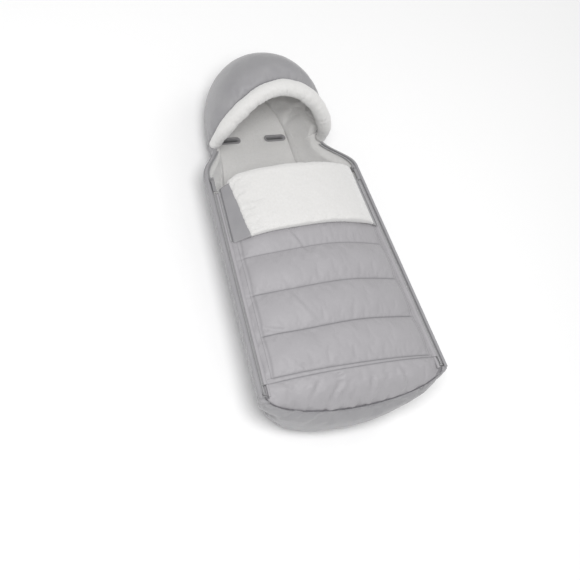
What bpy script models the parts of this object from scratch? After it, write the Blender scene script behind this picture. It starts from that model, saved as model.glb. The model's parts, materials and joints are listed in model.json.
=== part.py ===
"""Stroller footmuff, lying on its back: a padded tub with a hood, a quilted cover that opens over the toe
on two zips, and the top of the cover turned down as a flap.

Metres, +Z up, +Y towards the head. While it is built, y is measured from the hinge seam, where the cover
is sewn to the toe panel. Each mesh is then moved so that the finished part is centred on the origin.
"""
import math

import bmesh
import bpy
import numpy as np
from mathutils import Vector

# Lengths along the footmuff, from the hinge seam
COVER_LENGTH = 0.515        # hinge seam to the fold at the top of the cover
FLAP_LENGTH = 0.158         # fold to the free edge of the flap
SIDE_OPEN = 0.123           # fold to the foot of the hood rim
CORNER_RUN = 0.026          # hinge seam to where the toe starts to round
TOE_SEAM_REACH = 0.056      # from there to the front of the toe seam
TOE_BASE_REACH = 0.050      # from there to the front of the back panel
HOOD_BASE_REACH = 0.200     # foot of the hood to the head end of the back panel
SHOULDER_BACK = 0.055       # foot of the hood rim to the shoulder slots
WAIST_DROP = 0.343          # shoulder slots down to the waist slots
CROTCH_DROP = 0.431         # shoulder slots down to the crotch slot

# Half widths
ZIP_HALF_TOE = 0.224
ZIP_HALF_FOLD = 0.192
ZIP_HALF_MOUTH = 0.132
BASE_HALF_TOE = 0.148
BASE_HALF_FOLD = 0.138
BASE_HALF_MOUTH = 0.120

# Heights of the zip line, the toe seam and the hood mouth
ZIP_RISE_TOE = 0.178
ZIP_RISE_FOLD = 0.139
ZIP_RISE_MOUTH = 0.104
TOE_SEAM_RISE = 0.146
MOUTH_CROWN_RISE = 0.258
MOUTH_LEAN = 0.060          # how far the crown of the mouth lies behind its feet

# Fullness of the outside
COVER_ARCH_TOE = 0.027
COVER_ARCH_FOLD = 0.054
CHANNEL_PUFF = 0.012
TOE_PUFF = 0.011
WALL_BELLY = 0.0020
TOE_BELLY = 0.028
HOOD_BELLY = 0.036
HOOD_BACK = 0.085           # how far the hood runs back level from its mouth
HOOD_SWELL = 0.030          # how far it rises behind the mouth
ARCH_POWER = 2.3
TOE_POWER = 2.0
HOOD_POWER = 2.3
PUFF_POWER = 0.7
TOE_RISE_POWER = 1.3
TOE_BLEND_POWER = 2.0
TOE_DROP_POWER = 1.7
HOOD_BLEND_POWER = 1.6

# Thickness of the cloth sandwich, and of the same layers where they are sewn at an edge
SHELL = 0.0020
BATTING = 0.0130
LINING = 0.0060
SHELL_EDGE = 0.0010
BATTING_EDGE = 0.0015
LINING_EDGE = 0.0015
SEAM_BATTING = 0.0030       # batting left under a quilting seam
BACK_SHELL = 0.0020
BACK_BATTING = 0.0160
BACK_LINING = 0.0065
EDGE_ROLL = 0.045           # width over which the cover thins towards its zips
GAP = 0.0004                # between layers that touch
PANEL_GAP = 0.0006          # between panels that are sewn together
HINGE_GAP = 0.0003

# Zips: each half is a coil beside the zip line and a tape outside it
COIL_CLEAR = 0.0013
COIL_WIDTH = 0.0024
COIL_HEIGHT = 0.0026
TAPE_WIDTH = 0.0040
TAPE_HEIGHT = 0.0012
TRIM_GAP = 0.0003
EDGE_CLEAR = 0.0015          # between the zip tape and the lining, which thickens below it
EDGE_RISE = 0.0010          # cloth edge above the zip line

# Flap
FLAP_LIFT = 0.0092          # underside above the quilting seams
FLAP_LIFT_EDGE = 0.0016
FLAP_BATTING = 0.0110
BORDER_WIDTH = 0.032
BORDER_CLOTH = 0.0012
FLAP_SLIDER_CLEAR = 0.0010
KNUCKLE_CLEAR = 0.0012

# Hood rim
ROLL_RADIUS = 0.0205
ROLL_FOOT_RADIUS = 0.0140
ROLL_FOOT_RISE = 0.0065
ROLL_SEAT = 0.0005
ELASTIC_RADIUS = 0.0030
ELASTIC_CLEAR = 0.0006

# Harness slots
SLOT_LENGTH = 0.050
SLOT_WIDTH = 0.009
SHOULDER_SPACING = 0.126
WAIST_SPACING = 0.180
BINDING_WALL = 0.0015
BINDING_LIP = 0.0030
BINDING_LIP_HEIGHT = 0.0010
SLOT_OVERRUN = 0.0100       # of the cutter past each face of the back panel

# Toe seam binding
BINDING_HEIGHT = 0.0024
BINDING_CROWN = 0.0012
BINDING_TUCK = 0.0012       # how far its underside is drawn in
BINDING_WIDTH = 0.0034

# Slider and pull
SLIDER_LENGTH = 0.0130
SLIDER_WIDTH = 0.0110
PLATE = 0.0014
PLATE_CLEAR = 0.0005
POST_LENGTH = 0.0030
POST_WIDTH = 0.0018
LIP_WIDTH = 0.0010
LIP_CLEAR = 0.0004
SLIDER_PARK = 0.0125        # beyond the fold at rest
SLIDER_END = 0.0120         # beyond the hinge seam at the end of its travel
STRAIGHT_RUN = 0.023        # straight zip beyond the fold
STOP_LENGTH = 0.0035
EAR_LENGTH = 0.0040
EAR_THICK = 0.0009
PIN_RADIUS = 0.0007
PIN_CLEAR = 0.0003
PULL_EYE_RADIUS = 0.0018
PULL_LENGTH = 0.034
PULL_WIDTH = 0.0085
PULL_THICK = 0.0014
NECK_THICK = 0.0011
EYE_WIDTH = 0.0034

# Shares of the cover's length at its quilting seams, and how full each channel is
CHANNEL_SEAM_SHARES = (0.0, 0.212, 0.409, 0.595, 0.800, 1.0)
CHANNEL_FULL_SHARES = (1.0, 1.0, 1.0, 0.62, 0.35)
WALL_LOW_SHARES = (0.50, 0.16)   # lower control point of the wall's curve, of its width and height
WALL_HIGH_SHARE = 0.30
TOE_LOW_SHARE = 0.12
TOE_HIGH_SHARE = 0.48
HOOD_LOW_SHARE = 0.50
EDGE_SHARE = 0.32           # of the wall's height, thinned towards its top edge
CROWD_SHARE = 0.4           # how far columns crowd towards a panel's side edges
ROLL_TAPER_SHARE = 0.5
FREE_EDGE_SHARE = 0.5       # of the plush's thickness, at the flap's free edge

# Colours, as linear values
SHELL_GREY = (0.434, 0.424, 0.436)
WALL_GREY = (0.352, 0.352, 0.338)
PLUSH_WHITE = (0.855, 0.855, 0.847)
BATTING_WHITE = (0.80, 0.80, 0.78)
TRIM_GREY = (0.275, 0.270, 0.280)
COIL_GREY = (0.40, 0.40, 0.41)
ELASTIC_WHITE = (0.70, 0.70, 0.69)
NICKEL = (0.56, 0.56, 0.57)

# Steps along each part of the outline and up its walls
TOE_STEPS = 12
STRAIGHT_STEPS = 7
BEND_STEPS = 5
SIDE_STEPS = STRAIGHT_STEPS + BEND_STEPS
HOOD_STEPS = 16
WALL_STEPS = 7
CHANNEL_STEPS = 5
ACROSS_STEPS = 12
NOSE_STEPS = 5
BORDER_STEPS = 3
ROUND_SIDES = 12

ZIP_SPACE = COIL_CLEAR + COIL_WIDTH + TRIM_GAP + TAPE_WIDTH + TRIM_GAP
EDGE_STACK = SHELL_EDGE + GAP + BATTING_EDGE + GAP + LINING_EDGE
BACK_STACK = BACK_SHELL + GAP + BACK_BATTING + GAP + BACK_LINING
MOUTH_Y = COVER_LENGTH + SIDE_OPEN
MOUTH_END = MOUTH_Y + ROLL_RADIUS + ROLL_SEAT
STRAIGHT_END = COVER_LENGTH + STRAIGHT_RUN
SHOULDER_Y = MOUTH_Y + SHOULDER_BACK
WAIST_Y = SHOULDER_Y - WAIST_DROP
CROTCH_Y = SHOULDER_Y - CROTCH_DROP


def lerp(a, b, t):
    return a + (b - a) * t


def smooth(t):
    t = min(max(t, 0.0), 1.0)
    return t * t * (3 - 2 * t)


def clear_scene():
    for obj in list(bpy.data.objects):
        bpy.data.objects.remove(obj, do_unlink=True)


def material(name, color, roughness, metallic=0.0):
    mat = bpy.data.materials.new(name)
    mat.use_nodes = True
    shader = mat.node_tree.nodes["Principled BSDF"]
    shader.inputs["Base Color"].default_value = (*color, 1.0)
    shader.inputs["Roughness"].default_value = roughness
    shader.inputs["Metallic"].default_value = metallic
    return mat


def finish(name, mesh_builder, mat, origin=None):
    """Turns a bmesh into a named object whose origin may lie on a joint axis."""
    bmesh.ops.recalc_face_normals(mesh_builder, faces=mesh_builder.faces)
    place = np.array((0.0, -CENTRE_Y, 0.0))
    pivot = np.zeros(3) if origin is None else np.array(origin) + place
    for vert in mesh_builder.verts:
        vert.co += Vector(place - pivot)
    mesh = bpy.data.meshes.new(name)
    mesh_builder.to_mesh(mesh)
    mesh_builder.free()
    mesh.materials.append(mat)
    mesh.shade_smooth()
    mesh.set_sharp_from_angle(angle=math.radians(40))
    obj = bpy.data.objects.new(name, mesh)
    obj.location = pivot
    bpy.context.collection.objects.link(obj)
    return obj


def grid_faces(builder, rows, flip=False):
    for row, following in zip(rows, rows[1:]):
        for k in range(len(row) - 1):
            a, b, c, d = row[k], row[k + 1], following[k + 1], following[k]
            for corners in ((a, b, c), (a, c, d)):
                builder.faces.new(corners[::-1] if flip else corners)


def slab(name, outer, inner, mat, origin=None):
    """A closed sheet between two grids of points with the same number of rows and columns."""
    builder = bmesh.new()
    top = [[builder.verts.new(p) for p in row] for row in outer]
    low = [[builder.verts.new(p) for p in row] for row in inner]
    grid_faces(builder, top)
    grid_faces(builder, low, flip=True)
    grid_faces(builder, [top[0], low[0]], flip=True)
    grid_faces(builder, [top[-1], low[-1]])
    grid_faces(builder, [[r[0] for r in top], [r[0] for r in low]])
    grid_faces(builder, [[r[-1] for r in top], [r[-1] for r in low]], flip=True)
    return finish(name, builder, mat, origin)


def ring_solid(name, rings, mat, origin=None, cap=True):
    """A closed tube through rings of points; without caps the last ring joins the first."""
    builder = bmesh.new()
    loops = [[builder.verts.new(p) for p in ring] for ring in rings]
    spans = list(zip(loops, loops[1:]))
    if not cap:
        spans.append((loops[-1], loops[0]))
    for a, b in spans:
        grid_faces(builder, [a + a[:1], b + b[:1]])
    if cap:
        builder.faces.new(loops[0][::-1])
        builder.faces.new(loops[-1])
    return finish(name, builder, mat, origin)


def prism(builder, outline, low, high, axis=2):
    """Adds an extruded outline; the outline lies across the given axis."""
    def point(p, level):
        values = list(p)
        values.insert(axis, level)
        return values
    bottom = [builder.verts.new(point(p, low)) for p in outline]
    top = [builder.verts.new(point(p, high)) for p in outline]
    count = len(outline)
    builder.faces.new(bottom[::-1])
    builder.faces.new(top)
    for k in range(count):
        builder.faces.new((bottom[k], bottom[(k + 1) % count], top[(k + 1) % count], top[k]))


def box_outline(half_u, half_v, centre_u=0.0, centre_v=0.0):
    corners = ((-1, -1), (1, -1), (1, 1), (-1, 1))
    return [(centre_u + u * half_u, centre_v + v * half_v) for u, v in corners]


# The straight line of each zip, and how it bends down to the foot of the hood


def along_zip(toe, fold, mouth, y):
    line = lerp(toe, fold, y / COVER_LENGTH)
    foot = lerp(toe, fold, MOUTH_Y / COVER_LENGTH)
    return line + (mouth - foot) * smooth((y - STRAIGHT_END) / (MOUTH_Y - STRAIGHT_END))


def zip_half(y):
    return along_zip(ZIP_HALF_TOE, ZIP_HALF_FOLD, ZIP_HALF_MOUTH, y)


def edge_out(y):
    """From the zip line to the outside of the wall's top edge, wider where the zip runs at a slant."""
    slant = (zip_half(y + GAP) - zip_half(y - GAP)) / (2 * GAP)
    return ZIP_SPACE + EDGE_CLEAR + EDGE_STACK * math.hypot(1, slant)


def zip_rise(y):
    return along_zip(ZIP_RISE_TOE, ZIP_RISE_FOLD, ZIP_RISE_MOUTH, y)


def base_half(y):
    if y <= COVER_LENGTH:
        return lerp(BASE_HALF_TOE, BASE_HALF_FOLD, max(y, 0.0) / COVER_LENGTH)
    return lerp(BASE_HALF_FOLD, BASE_HALF_MOUTH, smooth((y - COVER_LENGTH) / (MOUTH_END - COVER_LENGTH)))


def toe_share(angle):
    """Sideways and forward share of the rounded toe, at an angle from its front."""
    side = abs(math.sin(angle)) ** (2 / TOE_POWER) * (1 if angle >= 0 else -1)
    return side, abs(math.cos(angle)) ** (2 / TOE_POWER)


def toe_seam_rise(forward):
    return lerp(zip_rise(-CORNER_RUN) + EDGE_RISE, TOE_SEAM_RISE, forward ** TOE_RISE_POWER)


def profile(base, top, out, reach):
    """Points up the wall from the back panel to its top edge, as a cubic curve."""
    out = np.array((out[0], out[1], 0.0))
    up = np.array((0.0, 0.0, 1.0))
    first = base + out * reach["low_out"] + up * reach["low_up"]
    second = top + out * reach["high_out"] + up * reach["high_up"]
    points = []
    for k in range(WALL_STEPS + 1):
        t = k / WALL_STEPS
        low = (1 - t) ** 3 * base + 3 * (1 - t) ** 2 * t * first
        points.append(low + 3 * (1 - t) * t ** 2 * second + t ** 3 * top)
    return points


def side_reach(y):
    width = zip_half(y) + edge_out(y) - base_half(y)
    height = zip_rise(y) + EDGE_RISE - BACK_STACK
    return {"low_out": WALL_LOW_SHARES[0] * width, "low_up": WALL_LOW_SHARES[1] * height,
            "high_out": WALL_BELLY, "high_up": -WALL_HIGH_SHARE * height}


def blend_reach(a, b, t):
    return {key: lerp(a[key], b[key], t) for key in a}


def toe_station(angle):
    side, forward = toe_share(angle)
    y0 = -CORNER_RUN
    base = np.array((base_half(y0) * side, y0 - TOE_BASE_REACH * forward, BACK_STACK + GAP))
    top_half = zip_half(y0) + edge_out(y0)
    top = np.array((top_half * side, y0 - TOE_SEAM_REACH * forward, toe_seam_rise(forward)))
    out = np.array((side, -forward)) / math.hypot(side, forward)
    height = top[2] - BACK_STACK
    tip = {"low_out": TOE_BELLY, "low_up": TOE_LOW_SHARE * height,
           "high_out": TOE_BELLY, "high_up": -TOE_HIGH_SHARE * height}
    return profile(base, top, out, blend_reach(side_reach(y0), tip, forward ** TOE_BLEND_POWER))


def side_station(y, side):
    base = np.array((base_half(y) * side, y, BACK_STACK + GAP))
    top = np.array(((zip_half(y) + edge_out(y)) * side, y, zip_rise(y) + EDGE_RISE))
    return profile(base, top, (side, 0.0), side_reach(y))


def mouth_point(angle):
    """Edge of the hood at its mouth: angle 0 is the right foot, a quarter turn is the crown."""
    foot = zip_rise(MOUTH_END) + EDGE_RISE
    half = zip_half(MOUTH_END) + edge_out(MOUTH_END)
    return np.array((half * math.cos(angle), MOUTH_END + MOUTH_LEAN * math.sin(angle) ** 2,
                     lerp(foot, MOUTH_CROWN_RISE, math.sin(angle))))


def hood_station(angle):
    side = abs(math.cos(angle)) ** (2 / HOOD_POWER) * (1 if math.cos(angle) >= 0 else -1)
    back = abs(math.sin(angle)) ** (2 / HOOD_POWER)
    base = np.array((BASE_HALF_MOUTH * side, MOUTH_END + HOOD_BASE_REACH * back, BACK_STACK + GAP))
    out = np.array((side, back)) / math.hypot(side, back)
    height = MOUTH_CROWN_RISE - BACK_STACK
    crown = {"low_out": HOOD_BELLY, "low_up": HOOD_LOW_SHARE * height,
             "high_out": HOOD_BACK, "high_up": HOOD_SWELL}
    reach = blend_reach(side_reach(MOUTH_END), crown, back ** HOOD_BLEND_POWER)
    return profile(base, mouth_point(angle), out, reach)


def side_rows():
    """Rows along the side walls: straight beside the cover, then bending in to the foot of the hood."""
    straight = [lerp(-CORNER_RUN, STRAIGHT_END, k / STRAIGHT_STEPS) for k in range(STRAIGHT_STEPS)]
    return straight + [lerp(STRAIGHT_END, MOUTH_END, k / BEND_STEPS) for k in range(BEND_STEPS + 1)]


def outline_ring():
    """Outer surface of the tub: columns of points round it, from the left toe corner through the toe."""
    quarter = math.pi / 2
    columns = [toe_station(lerp(-quarter, quarter, k / TOE_STEPS)) for k in range(TOE_STEPS)]
    ys = side_rows()[:-1]
    columns += [side_station(y, 1) for y in ys]
    columns += [hood_station(math.pi * k / HOOD_STEPS) for k in range(HOOD_STEPS)]
    columns += [side_station(y, -1) for y in [MOUTH_END] + ys[:0:-1]]
    return np.array(columns)


def ring_normals(ring):
    along = np.roll(ring, -1, axis=0) - np.roll(ring, 1, axis=0)
    up = np.gradient(ring, axis=1)
    normal = np.cross(along, up)
    normal[:, 0, 2] = 0.0
    return normal / np.linalg.norm(normal, axis=2, keepdims=True)


def edge_blend():
    return np.array([smooth((k / WALL_STEPS - 1 + EDGE_SHARE) / EDGE_SHARE) for k in range(WALL_STEPS + 1)])


RING = outline_ring()
NORMAL = ring_normals(RING)
CENTRE_Y = (RING[:, :, 1].min() + RING[:, :, 1].max()) / 2
TOE_END = TOE_STEPS
WALL_END = TOE_STEPS + SIDE_STEPS
HOOD_END = WALL_END + HOOD_STEPS
COUNT = len(RING)
SECTIONS = {"toe_gusset": (0, TOE_END), "wall_right": (TOE_END, WALL_END), "hood": (WALL_END, HOOD_END),
            "wall_left": (HOOD_END, COUNT)}


def section_columns(start, end, depth):
    """Columns of one panel at a depth under the outer surface, drawn back at both seams."""
    index = [k % COUNT for k in range(start, end + 1)]
    points = RING[index] - NORMAL[index] * depth[None, :, None]
    for edge, neighbour in ((0, 1), (-1, -2)):
        step = points[neighbour] - points[edge]
        points[edge] += step / np.linalg.norm(step, axis=1, keepdims=True) * PANEL_GAP / 2
    return points


def wall_depths():
    edge = edge_blend()
    shell = lerp(SHELL, SHELL_EDGE, edge)
    batting = lerp(BATTING, BATTING_EDGE, edge)
    lining = lerp(LINING, LINING_EDGE, edge)
    outer = shell * 0
    return {"shell": (outer, shell), "batting": (shell + GAP, shell + GAP + batting),
            "lining": (shell + batting + 2 * GAP, shell + batting + lining + 2 * GAP)}


def tub_walls(mats):
    """Side walls, toe gusset and hood, each of shell, batting and lining."""
    for panel, (start, end) in SECTIONS.items():
        for layer, (outer_depth, inner_depth) in wall_depths().items():
            outer = section_columns(start, end, outer_depth)
            inner = section_columns(start, end, inner_depth)
            if layer == "shell":
                skirt_outer, skirt_inner = outer[:, :1].copy(), inner[:, :1].copy()
                skirt_outer[:, :, 2] = skirt_inner[:, :, 2] = BACK_SHELL + GAP
                outer = np.concatenate((skirt_outer, outer), axis=1)
                inner = np.concatenate((skirt_inner, inner), axis=1)
            mat = {"shell": mats["side_cloth"], "batting": mats["batting"], "lining": mats["plush"]}[layer]
            slab(f"{panel}_{layer}", outer, inner, mat)


def base_outline(inset):
    points = RING[:, 0] - NORMAL[:, 0] * inset
    return [tuple(p[:2]) for p in points]


def slot_places():
    pairs = {"shoulder_slot": (SHOULDER_SPACING / 2, SHOULDER_Y), "waist_slot": (WAIST_SPACING / 2, WAIST_Y)}
    places = {"crotch_slot": (0.0, CROTCH_Y)}
    for name, (x, y) in pairs.items():
        places[name + "_left"] = (-x, y)
        places[name + "_right"] = (x, y)
    return places


def slot_outline(x, y, grow):
    """A slot with round ends, grown outwards."""
    half, radius = SLOT_LENGTH / 2 - SLOT_WIDTH / 2, SLOT_WIDTH / 2 + grow
    points = []
    for end, turn in ((1, -math.pi / 2), (-1, math.pi / 2)):
        for k in range(ROUND_SIDES // 3 + 1):
            angle = turn + math.pi * k / (ROUND_SIDES // 3)
            points.append((x + end * half + radius * math.cos(angle), y + radius * math.sin(angle)))
    return points


def back_panel(mats):
    """Three flat layers with five slots cut through them."""
    inset = SHELL + GAP
    levels = {"back_shell": (0.0, BACK_SHELL, 0.0, mats["side_cloth"]),
              "back_batting": (BACK_SHELL + GAP, BACK_SHELL + GAP + BACK_BATTING, inset, mats["batting"]),
              "back_lining": (BACK_STACK - BACK_LINING, BACK_STACK, inset, mats["plush"])}
    builder = bmesh.new()
    for x, y in slot_places().values():
        prism(builder, slot_outline(x, y, BINDING_WALL + TRIM_GAP), -SLOT_OVERRUN, BACK_STACK + SLOT_OVERRUN)
    cutter = finish("slot_cutter", builder, mats["trim"])
    cutter.hide_render = True
    cutter.display_type = "WIRE"
    for name, (low, high, step, mat) in levels.items():
        builder = bmesh.new()
        prism(builder, base_outline(step), low, high)
        panel = finish(name, builder, mat)
        cut = panel.modifiers.new("slots", "BOOLEAN")
        cut.operation = "DIFFERENCE"
        cut.object = cutter


def slot_bindings(mats):
    """A bound edge in each slot: a sleeve through the back panel with a lip on the plush."""
    for name, (x, y) in slot_places().items():
        inner, outer = slot_outline(x, y, 0.0), slot_outline(x, y, BINDING_WALL)
        lip = slot_outline(x, y, BINDING_WALL + BINDING_LIP)
        lip_low = BACK_STACK + TRIM_GAP
        levels = [(inner, TRIM_GAP), (outer, TRIM_GAP), (outer, lip_low), (lip, lip_low),
                  (lip, lip_low + BINDING_LIP_HEIGHT), (inner, lip_low + BINDING_LIP_HEIGHT)]
        rings = [[(px, py, level) for px, py in outline] for outline, level in levels]
        ring_solid(name + "_binding", rings, mats["trim"], cap=False)


# Cover, from the quilting seams up to its puffed channels and down to its lining


def cover_half(y):
    return zip_half(y) - ZIP_SPACE


def edge_share(x, y):
    """0 at the cover's side edge, 1 where the sandwich has its full thickness."""
    return smooth((cover_half(y) - abs(x)) / EDGE_ROLL)


def seam_level(x, y):
    arch = lerp(COVER_ARCH_TOE, COVER_ARCH_FOLD, max(y, 0.0) / COVER_LENGTH)
    across = min(abs(x) / cover_half(y), 1.0)
    return zip_rise(y) + EDGE_RISE + arch * (1 - across ** ARCH_POWER)


def puff(x, y):
    seams = [share * COVER_LENGTH for share in CHANNEL_SEAM_SHARES]
    for full, low, high in zip(CHANNEL_FULL_SHARES, seams, seams[1:]):
        if low <= y <= high:
            rise = abs(math.sin(math.pi * (y - low) / (high - low))) ** PUFF_POWER
            return CHANNEL_PUFF * full * rise * edge_share(x, y)
    return 0.0


def layer(edge, full, x, y):
    return lerp(edge, full, edge_share(x, y))


def shell_top(x, y):
    return seam_level(x, y) + puff(x, y)


def shell_low(x, y):
    return shell_top(x, y) - layer(SHELL_EDGE, SHELL, x, y)


def pad_top(x, y):
    return shell_low(x, y) - GAP


def pad_low(x, y):
    cloth = layer(SHELL_EDGE, SHELL, x, y)
    return seam_level(x, y) - cloth - GAP - layer(BATTING_EDGE, SEAM_BATTING, x, y)


def lining_top(x, y):
    return pad_low(x, y) - GAP


def lining_low(x, y):
    return lining_top(x, y) - layer(LINING_EDGE, LINING, x, y)


def across_shares():
    """Columns across a panel, closer together towards its side edges."""
    even = [lerp(-1, 1, k / ACROSS_STEPS) for k in range(ACROSS_STEPS + 1)]
    return [lerp(s, math.sin(math.pi / 2 * s), CROWD_SHARE) for s in even]


def sheet_grid(ys, level, half):
    return [[(s * half(y), y, level(s * half(y), y)) for s in across_shares()] for y in ys]


# Fold: the flap turns about a line through the middle of the folded stack at its side edges


def flap_low(x, y):
    return seam_level(x, y) + layer(FLAP_LIFT_EDGE, FLAP_LIFT, x, y)


def flap_shell_top(x, y):
    return flap_low(x, y) + layer(SHELL_EDGE, SHELL, x, y)


def flap_face(x, y):
    """Where the batting ends and the plush or the border begins."""
    return flap_shell_top(x, y) + 2 * GAP + layer(BATTING_EDGE, FLAP_BATTING, x, y)


def fold_core(x, y):
    """Height and radius of the bend, between the flap's plush and the cover's plush."""
    low = lining_low(x, y) + layer(LINING_EDGE, LINING, x, y)
    return (flap_face(x, y) + low) / 2, (flap_face(x, y) - low) / 2


FOLD_Y = COVER_LENGTH - LINING - fold_core(0.0, COVER_LENGTH)[1]
FOLD_Z, EDGE_BEND = fold_core(cover_half(FOLD_Y), FOLD_Y)
COVER_END = FOLD_Y - EDGE_BEND - BORDER_CLOTH - KNUCKLE_CLEAR
HINGE_Z = seam_level(0.0, 0.0) + CHANNEL_PUFF + EDGE_RISE
HINGE = (0.0, 0.0, HINGE_Z)
FOLD = (0.0, FOLD_Y, FOLD_Z)


def channel_rows():
    """Rows along the cover, by channel, ending short of the flap's bend."""
    rows = []
    for low, high in zip(CHANNEL_SEAM_SHARES, CHANNEL_SEAM_SHARES[1:]):
        low, high = max(low * COVER_LENGTH, HINGE_GAP), min(high * COVER_LENGTH, COVER_END)
        rows.append([lerp(low, high, k / CHANNEL_STEPS) for k in range(CHANNEL_STEPS + 1)])
    return rows


def quilted_cover(mats):
    channels = channel_rows()
    ys = channels[0] + [y for rows in channels[1:] for y in rows[1:]]
    def sheet(name, rows, top, low, mat):
        slab(name, sheet_grid(rows, top, cover_half), sheet_grid(rows, low, cover_half), mat, HINGE)
    sheet("cover_shell", ys, shell_top, shell_low, mats["shell_cloth"])
    for k, rows in enumerate(channels):
        rows = [rows[0] + PANEL_GAP / 2] + rows[1:-1] + [rows[-1] - PANEL_GAP / 2]
        sheet(f"cover_pad_{k + 1}", rows, pad_top, pad_low, mats["batting"])
    sheet("cover_lining", ys, lining_top, lining_low, mats["plush"])


# Flap


def flap_half(y):
    return zip_half(y) - SLIDER_WIDTH / 2 - FLAP_SLIDER_CLEAR - COIL_WIDTH - TAPE_WIDTH - 2 * TRIM_GAP


def flap_rows():
    return [lerp(COVER_LENGTH - FLAP_LENGTH, FOLD_Y, k / CHANNEL_STEPS) for k in range(CHANNEL_STEPS + 1)]


def border_half(y):
    return flap_half(y) - BORDER_WIDTH


def border_xs(y):
    """Columns of the right border, which the batting under it shares."""
    return [lerp(border_half(y), flap_half(y), k / BORDER_STEPS) for k in range(BORDER_STEPS + 1)]


def plush_xs(y, gap=0.0):
    return [s * (border_half(y) - gap) for s in across_shares()]


def flap_xs(y):
    return [-x for x in border_xs(y)[::-1]] + plush_xs(y)[1:-1] + border_xs(y)


def bend_columns(xs_at, outward, inward):
    """Two grids over the flap's face and round its bend; outward and inward are depths above the core."""
    ys = flap_rows()
    outer, inner = [], []
    for column in range(len(xs_at(FOLD_Y))):
        rows = ([], [])
        for k, y in enumerate(ys):
            x = xs_at(y)[column]
            rim = FREE_EDGE_SHARE if k == 0 else 1.0
            for row, depth in zip(rows, (outward, inward)):
                row.append((x, y, flap_face(x, y) + depth(x, y) * (rim if depth(x, y) > 0 else 1.0)))
        x = xs_at(FOLD_Y)[column]
        height, radius = fold_core(x, FOLD_Y)
        for k in range(1, NOSE_STEPS + 1):
            angle = math.pi / 2 - math.pi * k / NOSE_STEPS
            for row, depth in zip(rows, (outward, inward)):
                reach = radius + depth(x, FOLD_Y)
                row.append((x, FOLD_Y + reach * math.cos(angle), height + reach * math.sin(angle)))
        outer.append(rows[0])
        inner.append(rows[1])
    return outer, inner


def nothing(x, y):
    return 0.0


def folded_flap(mats):
    def pile(x, y):
        return layer(LINING_EDGE, LINING, x, y)

    def batting_top(x, y):
        return -GAP

    def batting_low(x, y):
        return -GAP - layer(BATTING_EDGE, FLAP_BATTING, x, y)

    def cloth(x, y):
        return BORDER_CLOTH

    def shell_grid(level):
        return [[(x, y, level(x, y)) for x in flap_xs(y)] for y in flap_rows()]

    plush = bend_columns(lambda y: plush_xs(y, TRIM_GAP), pile, nothing)
    slab("flap_plush", *plush, mats["plush"], FOLD)
    slab("flap_batting", *bend_columns(flap_xs, batting_top, batting_low), mats["batting"], FOLD)
    slab("flap_shell", shell_grid(flap_shell_top), shell_grid(flap_low), mats["shell_cloth"], FOLD)
    for name, side in (("left", -1), ("right", 1)):
        border = bend_columns(lambda y: sorted(side * x for x in border_xs(y)), cloth, nothing)
        slab(f"flap_border_{name}", *border, mats["side_cloth"], FOLD)


# Toe panel and the binding of the toe seam


def toe_angles():
    return [lerp(-math.pi / 2, math.pi / 2, k / TOE_STEPS) for k in range(TOE_STEPS + 1)]


def toe_panel_edge(angle):
    side, forward = toe_share(angle)
    reach = TOE_SEAM_REACH - EDGE_STACK - 2 * GAP - BINDING_WIDTH
    return np.array((cover_half(0.0) * side, -CORNER_RUN - reach * forward, toe_seam_rise(forward)))


def toe_panel(mats):
    """Shell, batting and lining of the D-shaped panel, thinned at all its edges."""
    levels = {"shell": ([], []), "batting": ([], []), "lining": ([], [])}
    for angle in toe_angles():
        far = toe_panel_edge(angle)
        x, columns = far[0], {name: ([], []) for name in levels}
        for k in range(CHANNEL_STEPS + 1):
            t = k / CHANNEL_STEPS
            y = lerp(-HINGE_GAP / 2, far[1], t)
            full = min(4 * t * (1 - t), 1.0) * edge_share(x, 0.0)
            seam = lerp(seam_level(x, 0.0), far[2], t ** TOE_DROP_POWER)
            top = seam + TOE_PUFF * abs(math.sin(math.pi * t)) ** PUFF_POWER * edge_share(x, 0.0)
            cloth = lerp(SHELL_EDGE, SHELL, full)
            low = seam - cloth - GAP - lerp(BATTING_EDGE, BATTING, full)
            spans = {"shell": (top, top - cloth), "batting": (top - cloth - GAP, low),
                     "lining": (low - GAP, low - GAP - lerp(LINING_EDGE, LINING, full))}
            for name, span in spans.items():
                for column, level in zip(columns[name], span):
                    column.append((x, y, level))
        for name in levels:
            for grid, column in zip(levels[name], columns[name]):
                grid.append(column)
    cloths = {"shell": mats["shell_cloth"], "batting": mats["batting"], "lining": mats["plush"]}
    for name, (top, low) in levels.items():
        slab(f"toe_panel_{name}", top, low, cloths[name])


def toe_binding(mats):
    """Bound seam between the toe panel and the gusset; it widens over the ends of the zips."""
    index = list(range(TOE_END + 1))
    depth = wall_depths()["lining"][1] + GAP
    outer = (RING[index] - NORMAL[index] * depth[None, :, None])[:, -1]
    rings = []
    drop = np.array((0.0, 0.0, BINDING_HEIGHT))
    crown = np.array((0.0, 0.0, BINDING_CROWN))
    for k, angle in enumerate(toe_angles()):
        inner = toe_panel_edge(angle)
        step = outer[k] - inner
        step *= BINDING_TUCK / np.linalg.norm(step)
        inner = inner + step * GAP / BINDING_TUCK
        if k in (0, TOE_STEPS):
            inner[1] -= PANEL_GAP
            outer[k][1] -= PANEL_GAP
        rings.append([tuple(p) for p in (outer[k], (outer[k] + inner) / 2 + crown, inner, inner + step - drop,
                                         outer[k] - step - drop)])
    ring_solid("toe_seam_binding", rings, mats["trim"])


# Hood rim: a plush roll round the mouth, with elastic in it


def path_frames(path):
    """Unit tangents along a path, and the unit vectors square to them that point most towards the head."""
    tangents = np.gradient(np.array(path), axis=0)
    tangents /= np.linalg.norm(tangents, axis=1, keepdims=True)
    backs = np.array((0.0, 1.0, 0.0)) - tangents * tangents[:, 1:2]
    return tangents, backs / np.linalg.norm(backs, axis=1, keepdims=True)


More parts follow.
